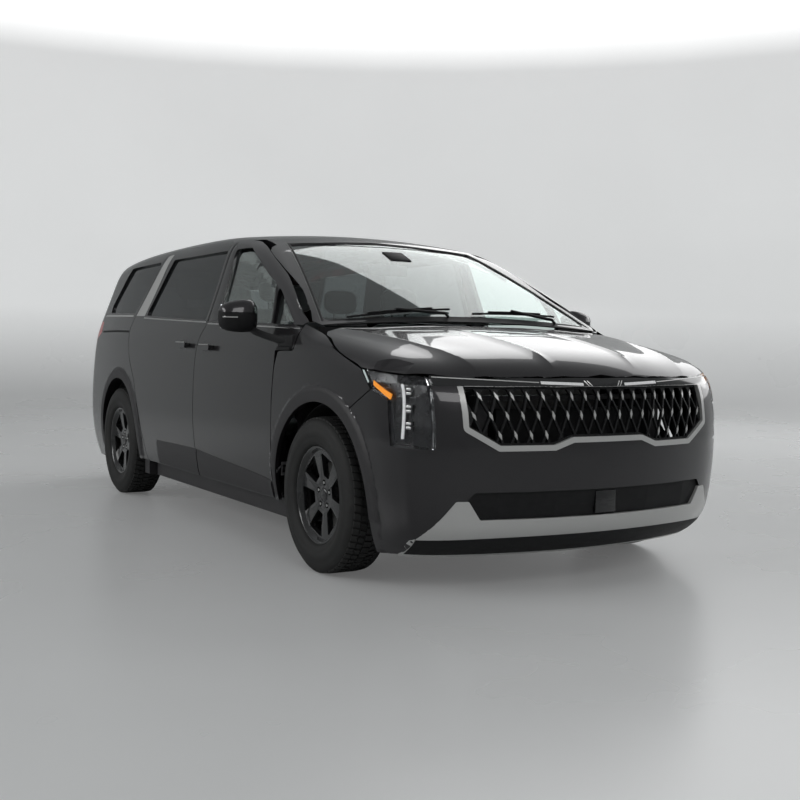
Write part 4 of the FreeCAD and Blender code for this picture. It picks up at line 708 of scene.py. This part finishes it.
arch_band("arch_front", FRONT_AXLE, 1170, 2300)
arch_band("arch_rear", REAR_AXLE, -2100, -900)

# Windscreen surround: rubber gasket with a bright line, the black cowl cover at its foot, two wipers on
# it, and behind the glass the interior mirror with its sensor housing.
band("screen_gasket", [(1404, 836), (950, 715), (503, 606)], [(1398, 820), (945, 700), (503, 592)],
     trim_black, "body", proud=2, view="top", mirrored=True)
band("screen_bright", [(1409, 842), (950, 720), (505, 611)], [(1406, 838), (950, 716), (505, 607)],
     bright, "body", proud=3, view="top", mirrored=True)
band("cowl_cover", [(1449, -760), (1462, -400), (1466, 0), (1462, 400), (1449, 760)],
     [(1398, -812), (1410, -400), (1413, 0), (1410, 400), (1398, 812)], trim_black, "body",
     proud=-2, sink=7, view="top", rows=5)
band("header_black", [(512, -594), (520, 0), (512, 594)], [(500, -594), (506, 0), (500, 594)], trim_black,
     "body", proud=1.5, view="top")
wipers = bmesh.new()


def on_screen(x, y, rise):
    spot = on_skin(np.array([x], float), np.array([y], float), "top", 500, 1900)[0]
    return Vector(spot) + Vector((rise * 0.44, 0, rise * 0.9))


for (x0, y0), (x1, y1), (px, py) in (((1398, -690), (1352, -60), (1424, -110)),
                                     ((1392, 60), (1345, 640), (1424, 590))):
    blade = [on_screen(x0 + (x1 - x0) * t, y0 + (y1 - y0) * t, 7) for t in np.linspace(0, 1, 12)]
    tube(wipers, blade, 6, 6)
    tube(wipers, [p + Vector((4, 0, 9)) for p in blade[2:10]], 5, 6)
    tube(wipers, [on_screen(px, py, 2), on_screen(px - 8, py - 20, 20), blade[5] + Vector((5, 0, 16))],
         8, 8)
solid("wipers", wipers, trim_black, "body", ())
inside_mirror = bmesh.new()
block(inside_mirror, (590, -125, 1470), (612, 125, 1535), 10, steps=3)
block(inside_mirror, (560, -14, 1505), (600, 14, 1600), 6)
block(inside_mirror, (625, -70, 1555), (760, 70, 1588), 12, Matrix.Rotation(math.radians(24), 4, "Y"))
solid("inside_mirror", inside_mirror, trim_black, "body", ())

# Door mirrors. A painted cap over a black shell on a flat arm, with the glass set in the shell's rear.
mirror_glass = surface("mirror_glass", (0.75, 0.77, 0.8), (0.78, 0.8, 0.82), 20, 0.01, 0.03,
                       settings={"Metallic": 1.0})


def pod(work, stations, side, power, clip=None):
    """A smooth closed pod through rings at stations of (y, x, z, half length, half height)."""
    sides = 28
    rings = []
    for y, x, z, a, b in stations:
        ring = []
        for k in range(sides):
            t = 2 * math.pi * k / sides
            c, s = math.cos(t), math.sin(t)
            px = x + a * math.copysign(abs(c) ** (2 / power), c)
            pz = z + b * math.copysign(abs(s) ** (2 / power), s)
            if clip:
                px, pz = clip(px, pz)
            ring.append(work.verts.new((px, side * y, pz)))
        rings.append(ring)
    for a, b in zip(rings, rings[1:]):
        for k in range(sides):
            work.faces.new((a[k], a[(k + 1) % sides], b[(k + 1) % sides], b[k]))
    work.faces.new(rings[0])
    work.faces.new(rings[-1])


HEAD = [(1001, 984, 1203, 20, 46), (1006, 986, 1206, 34, 62), (1020, 989, 1209, 48, 76),
        (1045, 991, 1211, 56, 84), (1085, 991, 1210, 58, 85), (1125, 990, 1207, 56, 80),
        (1158, 986, 1205, 51, 73), (1180, 981, 1204, 43, 62), (1191, 976, 1203, 32, 48),
        (1196, 973, 1202, 18, 30)]
for tag, side in (("left", 1), ("right", -1)):
    door = "front_door_" + tag
    node = "mirror_" + tag
    shell = bmesh.new()
    pod(shell, [(y, x, z, a - 2, b - 2) for y, x, z, a, b in HEAD], side, 2.6,
        lambda px, pz: (max(px, 940), min(pz, 1236)))
    solid(node + "_shell", shell, trim_black, door, (node,), sharp=50)
    cap = bmesh.new()
    pod(cap, [(y, x + 1, z, a, b) for y, x, z, a, b in HEAD[:-1]], side, 2.6,
        lambda px, pz: (max(px, 944), max(pz, 1228)))
    solid(node + "_cap", cap, paint, door, (node,), sharp=50)
    signal = bmesh.new()
    pod(signal, [(y, x + 1.5, z, a, b) for y, x, z, a, b in HEAD[5:-1]], side, 2.6,
        lambda px, pz: (max(px, 975), min(max(pz, 1200), 1206)))
    solid(node + "_line", signal, bright, door, (), sharp=50)
    glass = bmesh.new()
    block(glass, (935, min(side * 1028, side * 1174), 1146),
          (941, max(side * 1028, side * 1174), 1268), 2.5)
    solid(node + "_glass", glass, mirror_glass, door, ())
    arm = bmesh.new()
    pod(arm, [(948, 1250, 1086, 70, 22), (960, 1225, 1090, 62, 20), (980, 1165, 1100, 50, 17),
              (1000, 1095, 1114, 42, 16), (1022, 1030, 1132, 38, 17), (1036, 1004, 1146, 34, 16)],
        side, 3)
    block(arm, (1170, min(side * 938, side * 966), 1052), (1346, max(side * 938, side * 966), 1118), 10)
    # Painted shade: the thin black lip under the foot stands in for the shade in the gap beneath it.
    block(arm, (1178, min(side * 944, side * 975), 1040), (1330, max(side * 944, side * 975), 1058), 6)
    solid(node + "_arm", arm, trim_black, door, (), sharp=40)
    finish("handle_" + tag, paint)
    # Painted shade: a gloss black patch on the skin behind the handle stands in for the shade in the
    # handle's recess.
    band("handle_recess_shade_" + tag, [(160, 1068), (215, 1076), (270, 1068)],
         [(160, 1022), (215, 1014), (270, 1022)], gloss_black, door, proud=0.7,
         side=side, steps=20)
    band("handle_bright_" + tag, [(182, 1056), (328, 1056)], [(182, 1050), (328, 1050)], bright, door,
         proud=38, sink=-31, side=side, steps=20, soft=1)
finish("slide_handles", paint)
# Painted shade: a gloss black patch on the skin behind each sliding door handle stands in for the shade in
# its recess.
band("slide_handle_recess_shade", [(-230, 1078), (-175, 1086), (-120, 1078)], [(-230, 1032), (-175, 1024), (-120, 1032)],
     gloss_black, "body", proud=0.7, mirrored=True, steps=20)
band("slide_handle_bright", [(-208, 1066), (-62, 1066)], [(-208, 1060), (-62, 1060)], bright, "body",
     proud=38, sink=-31, mirrored=True, steps=20, soft=1)

# Wheels and tyres. Gloss black cast wheels with six spokes, five plated nuts and a blank cap; tyres with a
# ribbed side wall and a tread of blocks set round the carcass.
wheel_black = surface("wheel_gloss", (0.012, 0.012, 0.013), (0.018, 0.018, 0.019), 60, 0.16, 0.24,
                      settings={"Coat Weight": 0.8, "Coat Roughness": 0.05})
disc_steel = surface("disc_steel", (0.30, 0.30, 0.29), (0.38, 0.37, 0.36), 200, 0.3, 0.4,
                     settings={"Metallic": 1.0})
rubber = surface("tyre_rubber", (0.016, 0.016, 0.016), (0.026, 0.026, 0.025), 25, 0.6, 0.75, bump=0.2,
                 bump_scale=500)
WHEEL_Y, STUD_CIRCLE, PITCHES = 870.0, 114.3, 64


def copied(name, node, material, body, round_off=0.0):
    """The node's own form with clean flat faces, softened edges and smooth curves."""
    work = bmesh.new()
    work.from_mesh(nodes[node].data)
    bmesh.ops.remove_doubles(work, verts=work.verts, dist=2e-5)
    bmesh.ops.dissolve_limit(work, angle_limit=math.radians(1.5), verts=work.verts, edges=work.edges)
    if round_off:
        work.normal_update()
        edges = [e for e in work.edges if len(e.link_faces) == 2 and e.calc_face_angle(0) > math.radians(38)]
        bmesh.ops.bevel(work, geom=edges, offset=round_off / 1000, segments=2, profile=0.5,
                        affect="EDGES", clamp_overlap=True)
    mesh = bpy.data.meshes.new(name)
    work.to_mesh(mesh)
    work.free()
    mesh.shade_smooth()
    mesh.set_sharp_from_angle(angle=math.radians(32))
    return link(name, mesh, material, body, (node,))


ring = bpy.data.node_groups.new("tread_ring", "GeometryNodeTree")
ring.interface.new_socket("Geometry", in_out="INPUT", socket_type="NodeSocketGeometry")
pitch_socket = ring.interface.new_socket("Pitches", in_out="INPUT", socket_type="NodeSocketInt")
centre_socket = ring.interface.new_socket("Centre", in_out="INPUT", socket_type="NodeSocketVector")
finish_socket = ring.interface.new_socket("Material", in_out="INPUT", socket_type="NodeSocketMaterial")
ring.interface.new_socket("Geometry", in_out="OUTPUT", socket_type="NodeSocketGeometry")
start, end = ring.nodes.new("NodeGroupInput"), ring.nodes.new("NodeGroupOutput")
points, index = ring.nodes.new("GeometryNodePoints"), ring.nodes.new("GeometryNodeInputIndex")
step, turn = ring.nodes.new("ShaderNodeMath"), ring.nodes.new("ShaderNodeMath")
step.operation, turn.operation = "DIVIDE", "MULTIPLY"
step.inputs[0].default_value = 2 * math.pi
spin_nodes, around = ring.nodes.new("ShaderNodeCombineXYZ"), ring.nodes.new("GeometryNodeInstanceOnPoints")
shift, real = ring.nodes.new("GeometryNodeTransform"), ring.nodes.new("GeometryNodeRealizeInstances")
coat = ring.nodes.new("GeometryNodeSetMaterial")
for out_socket, in_socket in ((start.outputs["Pitches"], points.inputs["Count"]),
                              (start.outputs["Pitches"], step.inputs[1]),
                              (step.outputs[0], turn.inputs[0]), (index.outputs[0], turn.inputs[1]),
                              (turn.outputs[0], spin_nodes.inputs["Y"]),
                              (points.outputs[0], around.inputs["Points"]),
                              (start.outputs["Geometry"], around.inputs["Instance"]),
                              (spin_nodes.outputs[0], around.inputs["Rotation"]),
                              (around.outputs[0], real.inputs[0]),
                              (real.outputs[0], shift.inputs["Geometry"]),
                              (start.outputs["Centre"], shift.inputs["Translation"]),
                              (shift.outputs[0], coat.inputs["Geometry"]),
                              (start.outputs["Material"], coat.inputs["Material"]),
                              (coat.outputs[0], end.inputs[0])):
    ring.links.new(out_socket, in_socket)
pitch = bmesh.new()
pitch_arc = 2 * math.pi * TYRE_R / PITCHES
for y0, y1, s0, s1, lean in ((-92, -60, 0.0, 0.82, 6), (-55, -24, 0.3, 0.92, 8), (-19, 19, 0.1, 0.9, 3),
                             (24, 55, 0.0, 0.62, -8), (60, 92, 0.2, 1.02, -6)):
    corners = [(y0, s0 * pitch_arc), (y1, s0 * pitch_arc + lean), (y1, s1 * pitch_arc + lean),
               (y0, s1 * pitch_arc)]
    levels = []
    for r, trim in ((359.5, 0.0), (366.6, 0.0), (368.2, 1.4)):
        level = []
        my = (y0 + y1) / 2
        ms = (s0 + s1) / 2 * pitch_arc + lean / 2
        for y, s in corners:
            y, s = y - math.copysign(trim, y - my), s - math.copysign(trim, s - ms)
            drop = max(abs(y) - 72, 0) * 0.18
            a = s / TYRE_R
            level.append(pitch.verts.new(((r - drop) * math.sin(a) / 1000, y / 1000,
                                          (r - drop) * math.cos(a) / 1000)))
        levels.append(level)
    for a, b in zip(levels, levels[1:]):
        for k in range(4):
            pitch.faces.new((a[k], a[(k + 1) % 4], b[(k + 1) % 4], b[k]))
    pitch.faces.new(levels[0][::-1])
    pitch.faces.new(levels[-1])
bmesh.ops.recalc_face_normals(pitch, faces=pitch.faces)
pitch_mesh = bpy.data.meshes.new("tread_pitch")
pitch.to_mesh(pitch_mesh)
pitch.free()
pitch_source = bpy.data.objects.new("tread_pitch", pitch_mesh)
bpy.context.collection.objects.link(pitch_source)
WALL = [(-88, 219), (88, 219), (90, 232), (100, 236), (108, 246), (112, 262), (114.5, 276), (116, 279),
        (116.8, 292), (116, 305), (114, 309), (112.5, 326), (107, 343), (97, 354), (88, 358), (60, 360.5),
        (57.5, 360.5), (0, 360.8), (-57.5, 360.5), (-88, 358), (-97, 354), (-107, 343), (-112.5, 326),
        (-116, 305), (-116.8, 290), (-112, 262), (-108, 246), (-100, 236), (-90, 232)]
for name, axle in (("front", FRONT_AXLE), ("rear", REAR_AXLE)):
    for tag, side in (("left", 1), ("right", -1)):
        body = "wheel_%s_%s" % (name, tag)
        middle = Vector((axle, side * WHEEL_Y, TYRE_R))
        copied(body + "_cast", body, wheel_black, body, 1.6)
        nuts = bmesh.new()
        for k in range(5):
            a = 2 * math.pi * k / 5 + (math.pi if side > 0 else 0)
            seat_at = middle + Vector((STUD_CIRCLE / 2 * math.sin(a), side * 41,
                                       STUD_CIRCLE / 2 * math.cos(a)))
            made = bmesh.new()
            lathe(made, [(0, 0.01), (0, 12), (2, 12), (3, 10), (18, 10), (23, 7.5), (24, 5), (24, 0.01)],
                  (0, 0, 0), 6, side=side)
            bmesh.ops.recalc_face_normals(made, faces=made.faces)
            bmesh.ops.translate(made, verts=made.verts, vec=seat_at)
            loose = bpy.data.meshes.new("nut")
            made.to_mesh(loose)
            made.free()
            nuts.from_mesh(loose)
            bpy.data.meshes.remove(loose)
        solid(body + "_nuts", nuts, bright, body, (), sharp=25)
        cap = bmesh.new()
        lathe(cap, [(58, 0.01), (58, 33), (62, 33), (65, 30), (67, 20), (68, 0.01)], middle, 40, side=side)
        solid(body + "_cap", cap, gloss_black, body, ())
        disc = bmesh.new()
        lathe(disc, [(-5.1, 84), (-5.1, 164), (-4.2, 164), (-4.2, 84)], middle, 48, side=side)
        solid(body + "_disc", disc, disc_steel, body, ())
        carcass = bmesh.new()
        lathe(carcass, WALL, middle, 96, side=side)
        solid("tyre_%s_%s_carcass" % (name, tag), carcass, rubber, body, ("tyre_%s_%s" % (name, tag),),
              sharp=40)
        grow = pitch_source.modifiers.new("tread", "NODES")
        grow.node_group = ring
        grow[pitch_socket.identifier] = PITCHES
        grow[centre_socket.identifier] = tuple(middle / 1000)
        grow[finish_socket.identifier] = rubber
        graph = bpy.context.evaluated_depsgraph_get()
        tread = bpy.data.meshes.new_from_object(pitch_source.evaluated_get(graph))
        pitch_source.modifiers.remove(grow)
        tread.name = body + "_tread"
        link(body + "_tread", tread, rubber, body, ("tyre_%s_%s" % (name, tag),))
bpy.data.objects.remove(pitch_source)

# Seats. Foam cushions and backs in dark woven cloth with piped side bolsters, on black plastic bases; the
# head restraints stand on two posts.
seat_cloth = surface("woven_cloth", (0.018, 0.018, 0.020), (0.032, 0.032, 0.035), 1400, 0.8, 0.95,
                     bump=0.5, bump_scale=1800, settings={"Sheen Weight": 0.4})
seat_plastic = surface("seat_plastic", (0.02, 0.02, 0.022), (0.03, 0.03, 0.033), 60, 0.5, 0.65, bump=0.2,
                       bump_scale=700)


def cushion(name, centre, size, pitch_angle, body, node, power=5.0, bolster=0.66, channels=(), crown=0.12):
    """A stuffed pad: a rounded crowned block with sewn channels, turned about the cross axis."""
    work = bmesh.new()
    bmesh.ops.create_cube(work, size=2)
    bmesh.ops.subdivide_edges(work, edges=work.edges[:], cuts=23, use_grid_fill=True)
    p = np.array([v.co for v in work.verts])
    p = p / (np.sum(np.abs(p) ** power, axis=1) ** (1 / power))[:, None]
    top = np.clip(p[:, 2], 0, 1)
    lift = crown * top * (1 - p[:, 0] ** 2) * (1 - 0.4 * p[:, 1] ** 2)
    wave = np.zeros(len(p))
    for line in (-bolster, bolster):
        wave += np.exp(-((p[:, 1] - line) / 0.035) ** 2)
    inside = np.abs(p[:, 1]) < bolster
    for line in channels:
        wave += np.where(inside, np.exp(-((p[:, 0] - line) / 0.03) ** 2), 0)
    wave = np.minimum(wave, 1) * np.clip(top * 2, 0, 1)
    swell = np.where(np.abs(p[:, 1]) > bolster, 0.10, 0) * top
    piping = np.exp(-(p[:, 2] / 0.04) ** 2) * 0.010
    p = p * (1 + piping)[:, None]
    p[:, 2] = p[:, 2] * (1 - crown) + lift + swell - wave * 0.10
    p = p * np.array(size) / 2
    c, s = math.cos(pitch_angle), math.sin(pitch_angle)
    p = np.stack([p[:, 0] * c + p[:, 2] * s, p[:, 1], -p[:, 0] * s + p[:, 2] * c],
                 axis=1) + np.array(centre)
    for v, q in zip(work.verts, p):
        v.co = q
    made = solid(name, work, seat_cloth, body, (node,), sharp=80)


def seat(tag, node, x, y, width, z, floor_z, heads=(0,)):
    """One seat or bench whose cushion top is at z."""
    half = width / 2
    cushion(tag + "_cushion", (x + 15, y, z - 65), (520, width - 12, 125), math.radians(-3), "body", node,
            channels=(-0.5, 0.1))
    cushion(tag + "_back", (x - 258, y, z + 245), (640, width - 30, 118), math.radians(-100), "body",
            node, channels=(-0.45, 0.0, 0.45))
    hard = bmesh.new()
    for k, offset in enumerate(heads):
        cushion(tag + "_head_%d" % k, (x - 322, y + offset, z + 700), (165, 250, 96), math.radians(-97),
                "body", node, power=3.2, bolster=0.9, crown=0.2)
        for post in (-50, 50):
            tube(hard, [(x - 316, y + offset + post, z + 545), (x - 324, y + offset + post, z + 660)], 6, 8)
    block(hard, (x - 190, y - half + 55, floor_z + 1), (x + 210, y + half - 55, z - 128), 12)
    for edge in (-1, 1):
        wide = sorted((y + edge * (half - 48), y + edge * (half - 8)))
        block(hard, (x - 225, wide[0], z - 128), (x + 215, wide[1], z - 82), 10)
    solid(tag + "_base", hard, seat_plastic, "body", (node,))


seat("seat_driver", "front_seats", 420, 370, 520, 640, 300)
seat("seat_passenger", "front_seats", 420, -370, 520, 640, 300)
seat("seat_second_left", "second_row_seats", -440, 400, 520, 660, 300)
seat("seat_second_right", "second_row_seats", -440, -400, 520, 660, 300)
seat("seat_third", "third_row_seats", -1400, 0, 1120, 760, 470, heads=(-330, 0, 330))

# Cabin. Moulded dashboard with an instrument hood and wide screens, console and steering wheel.
soft_dash = surface("soft_dash", (0.022, 0.022, 0.024), (0.032, 0.032, 0.035), 80, 0.55, 0.7, bump=0.3,
                    bump_scale=900)
screen_black = surface("screen_black", (0.006, 0.006, 0.007), (0.01, 0.01, 0.011), 10, 0.05, 0.1)
copied("dashboard_top", "dashboard", soft_dash, "body", 8)
copied("console_body", "center_console", soft_dash, "body", 8)
copied("steering_rim", "steering_wheel", soft_dash, "steering_wheel", 2.5)
screens = bmesh.new()
block(screens, (893, 90, 1012), (905, 620, 1112), 5, Matrix.Rotation(math.radians(-14), 4, "Y"))
block(screens, (893, -250, 1012), (905, 84, 1112), 5, Matrix.Rotation(math.radians(-14), 4, "Y"))
solid("dash_screens", screens, screen_black, "body", ())
vents = bmesh.new()
for y in (-690, -330, 660):
    block(vents, (868, y - 60, 950), (892, y + 60, 985), 5)
solid("dash_vents", vents, trim_black, "body", ())
carpet = surface("carpet", (0.02, 0.02, 0.021), (0.035, 0.035, 0.036), 600, 0.9, 1.0, bump=0.6,
                 bump_scale=1500)
finish("floor", carpet)

# Tail: red lamps with a bright red line across the gate, a blank plate place and two reflectors.
tail_red = surface("tail_red", (0.30, 0.008, 0.010), (0.38, 0.012, 0.012), 120, 0.08, 0.14,
                   settings={"Coat Weight": 1.0, "Emission Color": (0.6, 0.01, 0.01, 1),
                             "Emission Strength": 0.25})
panel("tail_lamp_covers", "tail_lamps", tail_red, "body")
band("gate_light", [(-700, 1128), (0, 1134), (700, 1128)], [(-700, 1106), (0, 1112), (700, 1106)],
     tail_red, "tailgate", proud=3, view="rear", steps=60)
band("plate_recess", [(-290, 900), (290, 900)], [(-290, 748), (290, 748)], trim_black, "tailgate",
     proud=1.5, view="rear", rows=8, steps=24)
plate = surface("blank_plate", (0.66, 0.66, 0.65), (0.7, 0.7, 0.69), 40, 0.35, 0.45)
band("plate", [(-156, 888), (156, 888)], [(-156, 760), (156, 760)], plate, "tailgate",
     proud=5, sink=-1.5, view="rear", rows=6, steps=12, soft=1)
band("rear_cladding", [(-820, 372), (0, 372), (820, 372)], [(-790, 214), (0, 214), (790, 214)],
     cladding_grey, "body", proud=4, view="rear", rows=7, steps=60)
band("rear_silver", [(-520, 300), (0, 300), (520, 300)], [(-500, 236), (0, 236), (500, 236)],
     satin_silver, "body", proud=7, sink=-2, view="rear", rows=6, steps=50)
# Painted glow: the reflectors take the tail lamps' emitting red, so they shine as if lit though they are not
# lamps.
band("reflectors", [(560, 350), (740, 350)], [(560, 326), (740, 326)], tail_red, "body",
     proud=7, sink=-2, view="rear", rows=4, steps=16, mirrored=True)

# Below and behind the panels: pressed and cast steel, the plain engine, liners, tank and pipes.
primer = surface("primer_steel", (0.035, 0.034, 0.036), (0.055, 0.053, 0.056), 30, 0.45, 0.6,
                 settings={"Metallic": 0.3})
cast_alloy = surface("cast_alloy", (0.22, 0.22, 0.215), (0.32, 0.315, 0.31), 25, 0.45, 0.6, bump=0.4,
                     bump_scale=260, settings={"Metallic": 0.8})
felt = surface("liner_felt", (0.010, 0.010, 0.010), (0.016, 0.016, 0.016), 300, 0.85, 0.95, bump=0.4,
               bump_scale=1200)
pipe_steel = surface("pipe_steel", (0.25, 0.24, 0.23), (0.36, 0.35, 0.33), 18, 0.3, 0.45,
                     settings={"Metallic": 1.0})
for node, material in (("sills", cladding_grey), ("door_posts", primer), ("strut_towers", primer),
                       ("front_frame", primer), ("cowl", trim_black), ("engine_block", cast_alloy),
                       ("radiator", trim_black), ("wheelhouses_front", felt), ("wheelhouses_rear", felt),
                       ("front_subframe", cast_steel), ("rear_axle", cast_steel),
                       ("knuckle_left", cast_steel), ("knuckle_right", cast_steel),
                       ("fuel_tank", trim_black), ("exhaust", pipe_steel)):
    finish(node, material)
